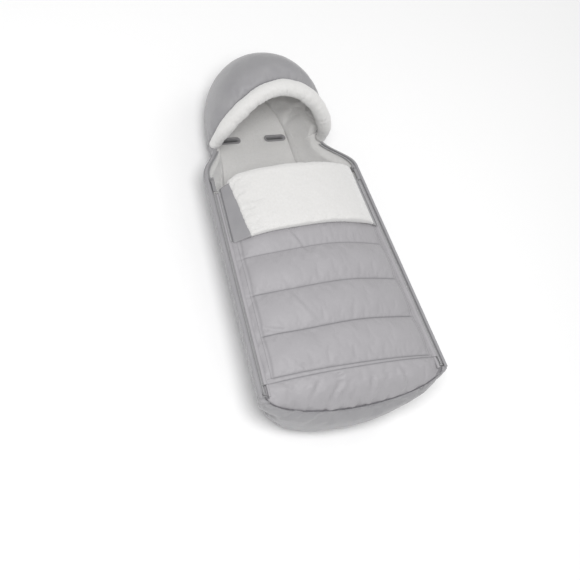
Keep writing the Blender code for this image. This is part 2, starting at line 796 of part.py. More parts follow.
def rim_path():
    foot = zip_rise(MOUTH_END) + EDGE_RISE
    start = math.asin(ROLL_FOOT_RISE / (MOUTH_CROWN_RISE - foot))
    angles = [lerp(start, math.pi - start, k / HOOD_STEPS) for k in range(HOOD_STEPS + 1)]
    mouth = np.array([mouth_point(a) for a in angles])
    return mouth - path_frames(mouth)[1] * (ROLL_RADIUS + ROLL_SEAT), angles


def tube_rings(path, radii, sides):
    rings = []
    turns = [2 * math.pi * k / sides for k in range(sides)]
    for centre, tangent, back, radius in zip(path, *path_frames(path), radii):
        side = np.cross(tangent, back)
        rings.append([centre + radius * (math.cos(t) * back + math.sin(t) * side) for t in turns])
    return rings


def hood_rim(mats):
    path, angles = rim_path()
    radii = [lerp(ROLL_FOOT_RADIUS, ROLL_RADIUS, smooth(math.sin(a) / ROLL_TAPER_SHARE)) for a in angles]
    outer = tube_rings(path, radii, ROUND_SIDES)
    bore = tube_rings(path, [ELASTIC_RADIUS + ELASTIC_CLEAR] * len(path), ROUND_SIDES // 2)
    builder = bmesh.new()
    walls = []
    for rings, flip in ((outer, False), (bore, True)):
        loops = [[builder.verts.new(p) for p in ring] for ring in rings]
        for a, b in zip(loops, loops[1:]):
            grid_faces(builder, [a + a[:1], b + b[:1]], flip)
        walls.append(loops)
    for end in (0, -1):
        edges = []
        for loops in walls:
            loop = loops[end]
            edges += [builder.edges.get((loop[k - 1], loop[k])) for k in range(len(loop))]
        bmesh.ops.bridge_loops(builder, edges=edges)
    finish("hood_rim", builder, mats["plush"])
    elastic = tube_rings(path, [ELASTIC_RADIUS] * len(path), ROUND_SIDES // 2)
    ring_solid("hood_elastic", elastic, mats["elastic"])


# Zips


def bar(name, side, ys, across, height, mat, origin=None, level=zip_rise):
    """A flat bar along a zip; across gives its near and far distance from the zip line."""
    rings = []
    for y in ys:
        near, far = (zip_half(y) + offset for offset in across)
        low, high = level(y) - height / 2, level(y) + height / 2
        near, far = side * near, side * far
        rings.append([(near, y, low), (far, y, low), (far, y, high), (near, y, high)])
    ring_solid(name, rings, mat, origin)


def flap_zip_level(y):
    return flap_low(flap_half(y), y) + COIL_HEIGHT / 2


def zip_halves(mats):
    coil = (COIL_CLEAR, COIL_CLEAR + COIL_WIDTH)
    tape = (coil[1] + TRIM_GAP, coil[1] + TRIM_GAP + TAPE_WIDTH)
    flap_tape = (-SLIDER_WIDTH / 2 - FLAP_SLIDER_CLEAR - COIL_WIDTH - TRIM_GAP - TAPE_WIDTH,
                 -SLIDER_WIDTH / 2 - FLAP_SLIDER_CLEAR - COIL_WIDTH - TRIM_GAP)
    flap_coil = (-SLIDER_WIDTH / 2 - FLAP_SLIDER_CLEAR - COIL_WIDTH, -SLIDER_WIDTH / 2 - FLAP_SLIDER_CLEAR)
    low_end = -SLIDER_END - SLIDER_LENGTH / 2 - TRIM_GAP
    bend = [y for y in side_rows() if STRAIGHT_END <= y < MOUTH_Y - ROLL_FOOT_RADIUS]
    cover_ys = [HINGE_GAP, COVER_END]
    stop_ys = [low_end - TRIM_GAP - STOP_LENGTH, low_end - TRIM_GAP]
    cover_tape, cover_coil = ([-w for w in part[::-1]] for part in (tape, coil))
    for name, side in (("left", -1), ("right", 1)):
        for part, height, mat, spans in (
                ("tape", TAPE_HEIGHT, mats["trim"], (tape, cover_tape, flap_tape)),
                ("coil", COIL_HEIGHT, mats["coil"], (coil, cover_coil, flap_coil))):
            tub, cover, flap = spans
            bar(f"tub_zip_{part}_{name}", side, [low_end] + bend, tub, height, mat)
            bar(f"cover_zip_{part}_{name}", side, cover_ys, cover, height, mat, HINGE)
            bar(f"flap_zip_{part}_{name}", side, flap_rows(), flap, height, mat, FOLD, flap_zip_level)
        bar(f"zip_stop_{name}", side, stop_ys, (-tape[0], tape[0]), COIL_HEIGHT, mats["nickel"])


# Slider and pull, built beside the zip line and sheared along it, as the zip halves are


def zip_frame(side, builder):
    """Carries local points, across and up from the zip line, to their place at the parked slider."""
    centre = COVER_LENGTH + SLIDER_PARK
    for vert in builder.verts:
        y = centre + vert.co.y
        vert.co.x, vert.co.z = side * zip_half(y) + vert.co.x, zip_rise(y) + vert.co.z
        vert.co.y = y


def local_part(name, side, outline, span, mat, origin, axis):
    builder = bmesh.new()
    prism(builder, outline, *span, axis)
    zip_frame(side, builder)
    return finish(name, builder, mat, origin)


def combine(target, other, operation):
    modifier = target.modifiers.new(operation.lower(), "BOOLEAN")
    modifier.operation = operation
    modifier.object = other
    other.hide_render = True
    other.display_type = "WIRE"


def disc(radius, centre_v, centre_w):
    turns = [2 * math.pi * (k + 0.5) / ROUND_SIDES for k in range(ROUND_SIDES)]
    return [(centre_v + radius * math.cos(t), centre_w + radius * math.sin(t)) for t in turns]


def channel_outline(level, thick, lip):
    """Half of the slider: a plate with a lip along each side, seen along the zip."""
    half = SLIDER_WIDTH / 2
    inside = half - LIP_WIDTH
    points = [(-half, level + thick), (-half, lip), (-inside, lip), (-inside, level), (inside, level),
              (inside, lip), (half, lip), (half, level + thick)]
    return points if thick < 0 else points[::-1]


def sliders(mats):
    level = COIL_HEIGHT / 2 + PLATE_CLEAR
    lip = TAPE_HEIGHT / 2 + LIP_CLEAR
    half = SLIDER_LENGTH / 2
    top = level + PLATE
    pin_z = top + PULL_EYE_RADIUS + PIN_CLEAR
    ear_top = pin_z + PIN_RADIUS + EAR_THICK
    inner_ear = EYE_WIDTH / 2 + PIN_CLEAR
    ear_foot = level + PLATE / 2
    ear = box_outline(EAR_LENGTH / 2, (ear_top - ear_foot) / 2, 0.0, (ear_top + ear_foot) / 2)
    for name, side in (("left", -1), ("right", 1)):
        y = COVER_LENGTH + SLIDER_PARK
        origin = (side * zip_half(y), y, zip_rise(y))
        pivot = (origin[0], y, origin[2] + pin_z)
        nickel = mats["nickel"]
        whole = (-half, half)
        post_span = (half - POST_LENGTH, half - TRIM_GAP)
        pin_reach = inner_ear + EAR_THICK / 2
        body = local_part(f"slider_{name}", side, channel_outline(level, PLATE, lip), whole, nickel, origin, 1)
        pieces = [
            ("low_plate", channel_outline(-level, -PLATE, -lip), whole, 1),
            ("post", box_outline(POST_WIDTH / 2, level + PLATE / 2), post_span, 1),
            ("ear_a", ear, (inner_ear, inner_ear + EAR_THICK), 0),
            ("ear_b", ear, (-inner_ear - EAR_THICK, -inner_ear), 0),
            ("pin", disc(PIN_RADIUS, 0.0, pin_z), (-pin_reach, pin_reach), 0),
        ]
        for piece, outline, span, axis in pieces:
            combine(body, local_part(f"{piece}_{name}", side, outline, span, nickel, origin, axis), "UNION")
        neck = EAR_LENGTH / 2 + EAR_THICK
        eye_half = EYE_WIDTH / 2
        neck_half = eye_half - TRIM_GAP
        neck_box = box_outline(neck / 2 + PIN_CLEAR, NECK_THICK / 2, -neck / 2 - PIN_CLEAR, pin_z)
        tab = box_outline((PULL_LENGTH - neck) / 2, PULL_THICK / 2, -(PULL_LENGTH + neck) / 2, pin_z)
        eye = disc(PULL_EYE_RADIUS, 0.0, pin_z)
        bore = disc(PIN_RADIUS + PIN_CLEAR, 0.0, pin_z)
        pull = local_part(f"pull_{name}", side, eye, (-eye_half, eye_half), nickel, pivot, 0)
        for piece, outline, reach, operation in (
                ("neck", neck_box, neck_half, "UNION"),
                ("tab", tab, PULL_WIDTH / 2, "UNION"),
                ("bore", bore, EYE_WIDTH, "DIFFERENCE")):
            other = local_part(f"{piece}_{name}", side, outline, (-reach, reach), nickel, pivot, 0)
            combine(pull, other, operation)


def main():
    clear_scene()
    mats = {
        "shell_cloth": material("shell_cloth", SHELL_GREY, 0.55),
        "side_cloth": material("side_cloth", WALL_GREY, 0.60),
        "plush": material("plush", PLUSH_WHITE, 0.95),
        "batting": material("batting", BATTING_WHITE, 0.95),
        "trim": material("trim", TRIM_GREY, 0.70),
        "coil": material("zip_coil", COIL_GREY, 0.45),
        "elastic": material("elastic", ELASTIC_WHITE, 0.80),
        "nickel": material("nickel", NICKEL, 0.30, 1.0),
    }
    back_panel(mats)
    slot_bindings(mats)
    tub_walls(mats)
    toe_panel(mats)
    toe_binding(mats)
    hood_rim(mats)
    quilted_cover(mats)
    folded_flap(mats)
    zip_halves(mats)
    sliders(mats)


main()
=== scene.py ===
"""Stroller footmuff, lying open on its back: padded tub with a hood, quilted cover on two zips, and the top
of the cover turned down. Lengths are metres; y is counted from the seam between toe panel and cover.
"""
import json
import math

import bpy
import bmesh
import numpy as np
from mathutils import Matrix, Vector


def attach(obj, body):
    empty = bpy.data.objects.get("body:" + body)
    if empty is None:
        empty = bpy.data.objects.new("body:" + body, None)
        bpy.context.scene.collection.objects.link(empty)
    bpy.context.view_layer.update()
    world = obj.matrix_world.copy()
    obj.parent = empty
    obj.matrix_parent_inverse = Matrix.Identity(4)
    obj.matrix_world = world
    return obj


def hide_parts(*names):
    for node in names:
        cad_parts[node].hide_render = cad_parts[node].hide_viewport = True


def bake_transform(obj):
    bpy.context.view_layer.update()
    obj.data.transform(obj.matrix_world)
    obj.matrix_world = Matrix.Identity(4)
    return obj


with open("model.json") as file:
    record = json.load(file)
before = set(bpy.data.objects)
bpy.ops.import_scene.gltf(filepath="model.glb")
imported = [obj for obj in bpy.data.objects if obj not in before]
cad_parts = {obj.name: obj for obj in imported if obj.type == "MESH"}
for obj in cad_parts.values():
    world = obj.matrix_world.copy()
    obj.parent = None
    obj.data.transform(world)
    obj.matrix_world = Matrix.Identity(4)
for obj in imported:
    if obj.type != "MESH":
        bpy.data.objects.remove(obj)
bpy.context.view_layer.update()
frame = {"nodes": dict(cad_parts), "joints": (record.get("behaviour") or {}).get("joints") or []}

# ---- Back panel -----------------------------------------------------------------------------------------
# The panel that lies on the seat: woven polyester under loose polyester fill, faced with white plush.
# Its edge is rounded by the fill and sewn into the foot of the side walls. Five harness slots go through.

COVER_HINGE = next(j for j in frame["joints"] if j["name"] == "cover_hinge")
CENTRE = -COVER_HINGE["pos_m"][1]
COVER_LENGTH = 0.515
MOUTH_Y = 0.638
MOUTH_END = 0.659
STRAIGHT_END = 0.538
TOE_START = -0.026
TOE_BASE = 0.050
HOOD_BASE = 0.200
HOOD_POWER = 2.3
BASE_HALF_TOE = 0.148
BASE_HALF_FOLD = 0.138
BASE_HALF_MOUTH = 0.120
BACK_TOP = 0.0253
BACK_CLOTH_TOP = 0.0184
BACK_EDGE = 0.0028
LAYER_GAP = 0.0004
UP = np.array((0.0, 0.0, 1.0))
WEAVE = 0.0009
SLOT_HALF_LENGTH = 0.025
SLOT_HALF_WIDTH = 0.0045
SLOT_WALL = 0.0018
CUT_LEVELS = (-0.01, 0.04)
SLOTS = {"shoulder_slot_left": (-0.063, 0.693), "shoulder_slot_right": (0.063, 0.693),
         "waist_slot_left": (-0.090, 0.350), "waist_slot_right": (0.090, 0.350),
         "crotch_slot": (0.0, 0.262)}


def lerp(a, b, t):
    return a + (b - a) * t


def smooth(t):
    t = np.clip(t, 0.0, 1.0)
    return t * t * (3 - 2 * t)


def bell(distance, wide):
    return np.exp(-(distance / wide) ** 2)


def lumps(points, size, seed):
    """Smooth random heights from -1 to 1 in lumps of one size, the same on each run."""
    table = np.random.default_rng(seed).uniform(-1, 1, 8192)
    place = np.asarray(points) / size + 512.0
    cell = np.floor(place).astype(np.int64)
    t = place - cell
    t = t * t * (3 - 2 * t)
    total = np.zeros(place.shape[:-1])
    for corner in np.ndindex(2, 2, 2):
        key = (cell + corner) * np.array((73856093, 19349663, 83492791))
        share = np.prod(np.where(np.array(corner) == 1, t, 1 - t), axis=-1)
        total += share * table[(key[..., 0] ^ key[..., 1] ^ key[..., 2]) & 8191]
    return total


def facing(grid, turn=1):
    """Unit normals of a grid of points."""
    normal = np.cross(np.gradient(grid, axis=0), np.gradient(grid, axis=1)) * turn
    return normal / np.maximum(np.linalg.norm(normal, axis=2, keepdims=True), 1e-12)


def closer(grid, times, axis=0, seams=()):
    """More points along one axis, on smooth curves through the old ones that stay creased at the seams."""
    grid = np.moveaxis(grid, axis, 0)
    stops = [0, *sorted(seams), len(grid) - 1]
    parts = []
    for first, last in zip(stops, stops[1:]):
        run = grid[first:last + 1]
        ends = np.concatenate((2 * run[:1] - run[1:2], run, 2 * run[-1:] - run[-2:-1]))
        a, b, c, d = ends[:-3], ends[1:-2], ends[2:-1], ends[3:]
        steps = [b + t / 2 * (c - a + t * (2 * a - 5 * b + 4 * c - d + t * (3 * (b - c) + d - a)))
                 for t in np.arange(times) / times]
        parts.append(np.stack(steps, axis=1).reshape(-1, *run.shape[1:]))
    parts.append(grid[-1:])
    return np.moveaxis(np.concatenate(parts), 0, axis)


def finer(grid, along, across):
    return closer(closer(grid, along, 0), across, 1)


def direction(steps):
    return steps / np.linalg.norm(steps, axis=-1, keepdims=True)


def distances(points):
    """How far along a line of points each one lies."""
    return np.concatenate(([0], np.cumsum(np.linalg.norm(np.diff(points, axis=0), axis=1))))


def grid_border(rows, cols):
    index = np.arange(rows * cols).reshape(rows, cols)
    return np.concatenate((index[0, :-1], index[:-1, -1], index[-1, :0:-1], index[:0:-1, 0]))


def mesh_of(name, points, edges, faces):
    """A mesh of points given in the part's own measure, moved into the shared frame."""
    mesh = bpy.data.meshes.new(name)
    mesh.from_pydata((points - (0.0, CENTRE, 0.0)).tolist(), edges, faces)
    return mesh


def placed(name, data):
    obj = bpy.data.objects.new(name, data)
    bpy.context.scene.collection.objects.link(obj)
    return obj


def closed_mesh(name, outside, inside, rims):
    """A closed mesh of two grids of points, their borders joined through loops of points, and its points."""
    rows, cols = outside.shape[:2]
    index, border = np.arange(rows * cols).reshape(rows, cols), grid_border(rows, cols)
    loops = [border] + [np.arange(len(border)) + 2 * rows * cols + k * len(border) for k in range(len(rims))]
    loops.append(border + rows * cols)
    quads = np.stack((index[:-1, :-1], index[:-1, 1:], index[1:, 1:], index[1:, :-1]), axis=-1).reshape(-1, 4)
    faces = [quads, quads[:, ::-1] + rows * cols]
    for a, b in zip(loops, loops[1:]):
        faces.append(np.stack((a, b, np.roll(b, -1), np.roll(a, -1)), axis=-1))
    points = np.concatenate([outside.reshape(-1, 3), inside.reshape(-1, 3), *rims])
    return mesh_of(name, points, [], np.concatenate(faces).tolist()), points


def skin(name, outside, inside, finish, rounding, rim=3, seam=None):
    """A closed body between two grids of points, its edges rolled over like a turned seam. seam says, from 0
    to 1, how much painted shade darkens each outer point, standing for the shade that falls in the grooves of
    its seams."""
    border = grid_border(*outside.shape[:2])
    inner = outside.copy()
    inner[0], inner[-1] = outside[1], outside[-2]
    inner[:, 0], inner[:, -1] = inner[:, 1], inner[:, -2]
    top, low = outside.reshape(-1, 3), inside.reshape(-1, 3)
    away = (top - inner.reshape(-1, 3))[border]
    away /= np.maximum(np.linalg.norm(away, axis=1, keepdims=True), 1e-9)
    middle, half = (top[border] + low[border]) / 2, (top[border] - low[border]) / 2
    deep = np.linalg.norm(half, axis=1, keepdims=True) * rounding
    turns = [math.pi * k / (rim + 1) for k in range(1, rim + 1)]
    rims = [middle + half * math.cos(turn) + away * deep * math.sin(turn) for turn in turns]
    mesh, _ = closed_mesh(name, outside, inside, rims)
    along = np.concatenate(([0], np.cumsum(np.linalg.norm(np.diff(outside, axis=0), axis=2).mean(axis=1))))
    across = np.concatenate(([0], np.cumsum(np.linalg.norm(np.diff(outside, axis=1), axis=2).mean(axis=0))))
    flat = np.stack(np.meshgrid(across, along), axis=-1).reshape(-1, 2)
    flat = np.concatenate([flat, flat] + [flat[border]] * rim)
    obj = made(mesh, finish, flat)
    # The painted shade of the seams goes on the outer points as the point attribute seam.
    if seam is not None:
        sewn = np.concatenate([seam.ravel(), 0 * seam.ravel()] + [seam.ravel()[border]] * rim)
        mesh.attributes.new("seam", "FLOAT", "POINT").data.foreach_set("value", sewn.astype(np.float32))
    return obj


def made(mesh, finish, flat=None):
    """A finished mesh as an object: normals outwards, a UV map in metres of cloth, and its finish."""
    builder = bmesh.new()
    builder.from_mesh(mesh)
    bmesh.ops.recalc_face_normals(builder, faces=builder.faces)
    builder.to_mesh(mesh)
    builder.free()
    if flat is not None:
        corners = np.empty(len(mesh.loops), dtype=np.int32)
        mesh.loops.foreach_get("vertex_index", corners)
        mesh.uv_layers.new(name="UVMap").data.foreach_set("uv", flat[corners].astype(np.float32).ravel())
    mesh.shade_smooth()
    mesh.materials.append(finish)
    return placed(mesh.name, mesh)


def linear(hex_colour):
    parts = [int(hex_colour[k:k + 2], 16) / 255 for k in (1, 3, 5)]
    return tuple(p / 12.92 if p <= 0.04045 else ((p + 0.055) / 1.055) ** 2.4 for p in parts) + (1.0,)


def node(tree, kind, settings=None, **links):
    """Adds one node; settings are properties or input values, links are input sockets."""
    item = tree.nodes.new(kind)
    for key, value in (settings or {}).items():
        if hasattr(item, key):
            setattr(item, key, value)
        else:
            item.inputs[key].default_value = value
    for key, socket in links.items():
        tree.links.new(socket, item.inputs[int(key[1:]) if key[1:].isdigit() else key])
    return item


def blank(name, **shader_values):
    mat = bpy.data.materials.new(name)
    mat.use_nodes = True
    shader = mat.node_tree.nodes["Principled BSDF"]
    for key, value in shader_values.items():
        shader.inputs[key.replace("_", " ")].default_value = value
    return mat, mat.node_tree, shader


def tinted(tree, shader, vector, size, dark, light, share=0.5):
    """Faint cloudy change of colour, as dye and handling leave on cloth."""
    cloud = node(tree, "ShaderNodeTexNoise", {"Scale": 1 / size, "Detail": 3.0}, Vector=vector)
    ramp = node(tree, "ShaderNodeValToRGB", None, Fac=cloud.outputs["Fac"])
    ramp.color_ramp.elements[0].position = 0.5 - share / 2
    ramp.color_ramp.elements[1].position = 0.5 + share / 2
    ramp.color_ramp.elements[0].color = linear(dark)
    ramp.color_ramp.elements[1].color = linear(light)
    tree.links.new(ramp.outputs["Color"], shader.inputs["Base Color"])


def woven(name, dark, light, sheen):
    """Plain-woven polyester: a calendered face with a soft satin gloss and crossed threads, with painted
    shade darkening it in its seams' grooves. The real thread is about 0.2 mm; it is drawn coarser so that it
    shows."""
    mat, tree, shader = blank(name, Roughness=0.5, Sheen_Weight=sheen, Sheen_Roughness=0.45,
                              Specular_IOR_Level=0.35)
    spot = node(tree, "ShaderNodeTexCoord")
    tinted(tree, shader, spot.outputs["Object"], 0.045, dark, light)
    dyed = shader.inputs["Base Color"].links[0].from_socket
    # Painted shade: the point attribute seam darkens the dyed colour to about 55 % where shade falls in the
    # seams.
    sewn = node(tree, "ShaderNodeAttribute", {"attribute_name": "seam"})
    drawn = node(tree, "ShaderNodeMix", {"data_type": "RGBA", "blend_type": "MULTIPLY"})
    drawn.inputs[7].default_value = (0.55, 0.55, 0.56, 1.0)
    tree.links.new(sewn.outputs["Fac"], drawn.inputs[0])
    tree.links.new(dyed, drawn.inputs[6])
    tree.links.new(drawn.outputs[2], shader.inputs["Base Color"])
    warp, weft = (node(tree, "ShaderNodeTexWave", {"bands_direction": way, "Scale": 0.31 / WEAVE,
                                                   "Distortion": 0.6, "Detail": 1.0},
                       Vector=spot.outputs["UV"]) for way in "XY")
    cross = node(tree, "ShaderNodeMath", {"operation": "MAXIMUM"}, _0=warp.outputs["Fac"],
                 _1=weft.outputs["Fac"])
    rumple = node(tree, "ShaderNodeTexNoise", {"Scale": 130.0, "Detail": 4.0, "Roughness": 0.6},
                  Vector=spot.outputs["Object"])
    threads = node(tree, "ShaderNodeBump", {"Strength": 0.25, "Distance": 0.0003}, Height=cross.outputs[0])
    creased = node(tree, "ShaderNodeBump", {"Strength": 0.09, "Distance": 0.0012},
                   Height=rumple.outputs["Fac"], Normal=threads.outputs["Normal"])
    tree.links.new(creased.outputs["Normal"], shader.inputs["Normal"])
    gloss = node(tree, "ShaderNodeMapRange", {"To Min": 0.44, "To Max": 0.58}, Value=rumple.outputs["Fac"])
    tree.links.new(gloss.outputs["Result"], shader.inputs["Roughness"])
    return mat


def brushed_plush(name, dark, light):
    """Knitted polyester plush: a dense 5 mm pile brushed up into small tufts, quite matt, with a pale
    bloom."""
    mat, tree, shader = blank(name, Roughness=0.95, Sheen_Weight=0.6, Sheen_Roughness=0.6,
                              Specular_IOR_Level=0.15)
    spot = node(tree, "ShaderNodeTexCoord")
    tinted(tree, shader, spot.outputs["Object"], 0.006, dark, light, share=0.7)
    tuft = node(tree, "ShaderNodeTexVoronoi", {"Scale": 420.0, "Randomness": 1.0},
                Vector=spot.outputs["Object"])
    pile = node(tree, "ShaderNodeTexNoise", {"Scale": 900.0, "Detail": 3.0, "Roughness": 0.7},
                Vector=spot.outputs["Object"])
    tufts = node(tree, "ShaderNodeBump", {"Strength": 0.40, "Distance": 0.0016, "invert": True},
                 Height=tuft.outputs["Distance"])
    hairs = node(tree, "ShaderNodeBump", {"Strength": 0.4, "Distance": 0.0008},
                 Height=pile.outputs["Fac"], Normal=tufts.outputs["Normal"])
    tree.links.new(hairs.outputs["Normal"], shader.inputs["Normal"])
    return mat


SIDE_CLOTH = woven("woven_polyester_side", "#949396", "#9B9A9C", 0.25)
PLUSH = brushed_plush("polyester_plush", "#D6D5D3", "#DDDCDB")


def base_half(y):
    """Half width of the back panel; its toe is a half ellipse and its head end a squarer one."""
    below = lerp(BASE_HALF_TOE, BASE_HALF_FOLD, np.maximum(y, 0) / COVER_LENGTH)
    above = lerp(BASE_HALF_FOLD, BASE_HALF_MOUTH, smooth((y - COVER_LENGTH) / (MOUTH_END - COVER_LENGTH)))
    return np.where(y <= COVER_LENGTH, below, above)


def back_half(y):
    toe = np.clip((TOE_START - y) / TOE_BASE, 0, 1)
    head = np.clip((y - MOUTH_END) / HOOD_BASE, 0, 1)
    return base_half(y) * np.sqrt(1 - toe ** 2) * (1 - head ** HOOD_POWER) ** (1 / HOOD_POWER)


def round_under(z):
    """How far the rounded lower edge lies inside the outline, at a height."""
    radius = BACK_TOP
    return radius - np.sqrt(np.maximum(radius ** 2 - np.maximum(radius - z, 0) ** 2, 0))


def back_grid(rows, cols, inset, z):
    t = np.linspace(-1, 1, rows)
    t = lerp(t, np.sin(t * math.pi / 2), 0.8)[:, None]
    low, high = TOE_START - TOE_BASE + inset, MOUTH_END + HOOD_BASE - inset
    y = lerp(low, high, (t + 1) / 2) * np.ones((1, cols))
    squeeze = lerp(TOE_START - TOE_BASE, MOUTH_END + HOOD_BASE, (t + 1) / 2)
    squeeze = np.clip(squeeze, TOE_START - 0.997 * TOE_BASE, MOUTH_END + 0.998 * HOOD_BASE)
    half = np.maximum(back_half(squeeze) - inset, 0.004)
    return np.stack((half * np.linspace(-1, 1, cols), y, np.full_like(y, z)), axis=-1)


def slot_ring(x, y, grow, sides=24):
    """Points round a slot with round ends."""
    half, radius = SLOT_HALF_LENGTH - SLOT_HALF_WIDTH, SLOT_HALF_WIDTH + grow
    turns = np.concatenate([np.linspace(-math.pi / 2, math.pi / 2, sides // 2),
                            np.linspace(math.pi / 2, 3 * math.pi / 2, sides // 2)])
    ends = np.repeat((1, -1), sides // 2)
    return np.stack((x + ends * half + radius * np.cos(turns), y + radius * np.sin(turns)), axis=1)


def tube(name, rings, finish, closed=False):
    """A body through rings of points; a closed one comes back to its first ring, any other has flat ends."""
    rings = np.asarray(rings)
    count, sides = rings.shape[:2]
    index = np.arange(count * sides).reshape(count, sides)
    upper = np.roll(index, -1, axis=0) if closed else index[1:]
    lower = index if closed else index[:-1]
    faces = np.stack((lower, np.roll(lower, -1, 1), np.roll(upper, -1, 1), upper), axis=-1)
    faces = faces.reshape(-1, 4).tolist()
    if not closed:
        faces += [index[0, ::-1].tolist(), index[-1].tolist()]
    mesh = mesh_of(name, rings.reshape(-1, 3), [], faces)
    around, along = np.arange(sides) * 0.001, distances(rings.mean(axis=1))
    return made(mesh, finish, np.stack(np.meshgrid(around, along), axis=-1).reshape(-1, 2))


def cut_slots(panel):
    rings = []
    for x, y in SLOTS.values():
        ring = slot_ring(x, y, SLOT_WALL)
        rings.append([np.c_[ring, np.full(len(ring), z)] for z in CUT_LEVELS])
    cutters = [tube("slot_cut", pair, PLUSH) for pair in rings]
    for cutter in cutters:
        cut = panel.modifiers.new("slot", "BOOLEAN")
        cut.operation, cut.solver, cut.object = "DIFFERENCE", "EXACT", cutter
    plain(panel)
    for cutter in cutters:
        bpy.data.objects.remove(cutter)


def plain(obj):
    """Turns what the modifiers give into the object's own mesh."""
    mesh = bpy.data.meshes.new_from_object(obj.evaluated_get(bpy.context.evaluated_depsgraph_get()))
    obj.modifiers.clear()
    obj.data = mesh
    mesh.shade_smooth()


def back_panel():
    levels = np.array((0.0, 0.0008, 0.003, 0.006, 0.010, 0.014, BACK_CLOTH_TOP))
    rows, cols = 170, 62
    under = back_grid(rows, cols, BACK_EDGE + round_under(levels[1]), 0.0)
    under[..., 2] = 0.0003 * (1 + lumps(under, 0.05, 3))
    top = back_grid(rows, cols, BACK_EDGE, BACK_CLOTH_TOP)
    rims = [back_grid(rows, cols, BACK_EDGE + round_under(z), z).reshape(-1, 3)[grid_border(rows, cols)]
            for z in levels[1:-1]]
    mesh, points = closed_mesh("back_panel_cloth", under, top, rims)
    return made(mesh, SIDE_CLOTH, points[:, :2])


def moves(piece, body, ends=None):
    """Lets a piece ride on a body; given ends, it only has its placement baked into its mesh."""
    if ends:
        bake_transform(piece)
    else:
        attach(piece, body)


def soft(piece, nodes, body="tub", ends=None):
    """Hides the parts that a padded piece stands for, and lets it ride on its body."""
    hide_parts(*nodes)
    moves(piece, body, ends)


def fleece(grid, normal, height, seed):
    """Raises the pile into soft tufts and hollows."""
    rise = 0.5 * lumps(grid, 0.011, seed) + 0.35 * lumps(grid, 0.0055, seed + 1)
    rise = rise + 0.5 * lumps(grid, 0.035, seed + 2)
    return grid + normal * (height * rise)[..., None]


def near_slot(grid):
    """1 at the edge of a harness slot, falling to 0 within 25 mm."""
    pull = np.zeros(grid.shape[:2])
    for x, y in SLOTS.values():
        gap = np.hypot(np.maximum(np.abs(grid[..., 0] - x) - SLOT_HALF_LENGTH, 0), grid[..., 1] - y)
        pull = np.maximum(pull, 1 - smooth((gap - 0.006) / 0.022))
    return pull


back_cloth = back_panel()
cut_slots(back_cloth)
soft(back_cloth, ("back_shell", "back_batting"))
back_low, back_face = (back_grid(300, 100, BACK_EDGE, z) for z in (BACK_CLOTH_TOP + LAYER_GAP, BACK_TOP))
back_face = fleece(back_face - UP * 0.0012, UP, height=0.0010, seed=11)
back_face[..., 2] -= 0.0022 * near_slot(back_face)
back_plush = skin("back_plush", back_face, back_low, PLUSH, rim=2, rounding=0.3)
cut_slots(back_plush)
soft(back_plush, ("back_lining",))

# ---- Slot bindings --------------------------------------------------------------------------------------
# Woven tape sewn round each harness slot, so that the webbing doesn't fray the plush.
# Each is a sleeve through the panel with a rolled lip on top, held by a row of stitches.

LIP_LEVEL = 0.0256
LIP_WIDTH = 0.0045
STITCH_LENGTH = 0.0030
THREAD = 0.00055


def woven_tape(name, dark, light):
    """Narrow woven polyester tape: dull, with fine ribs across it."""
    mat, tree, shader = blank(name, Roughness=0.7, Sheen_Weight=0.15)
    spot = node(tree, "ShaderNodeTexCoord")
    tinted(tree, shader, spot.outputs["Object"], 0.012, dark, light)
    rib = node(tree, "ShaderNodeTexWave", {"bands_direction": "Y", "Scale": 310.0}, Vector=spot.outputs["UV"])
    bump = node(tree, "ShaderNodeBump", {"Strength": 0.4, "Distance": 0.0003}, Height=rib.outputs["Fac"])
    tree.links.new(bump.outputs["Normal"], shader.inputs["Normal"])
    return mat


def spun_thread(name, colour):
    """Twisted polyester sewing thread, slightly glossy; each stitch is one short twist."""
    mat, tree, shader = blank(name, Base_Color=linear(colour), Roughness=0.45, Sheen_Weight=0.2)
    spot = node(tree, "ShaderNodeTexCoord")
    twist = node(tree, "ShaderNodeTexNoise", {"Scale": 1500.0}, Vector=spot.outputs["Object"])
    bump = node(tree, "ShaderNodeBump", {"Strength": 0.3, "Distance": 0.0002}, Height=twist.outputs["Fac"])
    tree.links.new(bump.outputs["Normal"], shader.inputs["Normal"])
    return mat


TAPE = woven_tape("woven_tape_grey", "#929193", "#9B9A9C")
# Painted shade: the toe seam's tape is real, but its dark colour stands for the shade in the crease it lies
# in.
TAPE_PAINTED_SHADE = woven_tape("woven_tape_slate", "#5C5A5F", "#68666B")
THREAD_GREY = spun_thread("spun_thread_grey", "#7B797C")


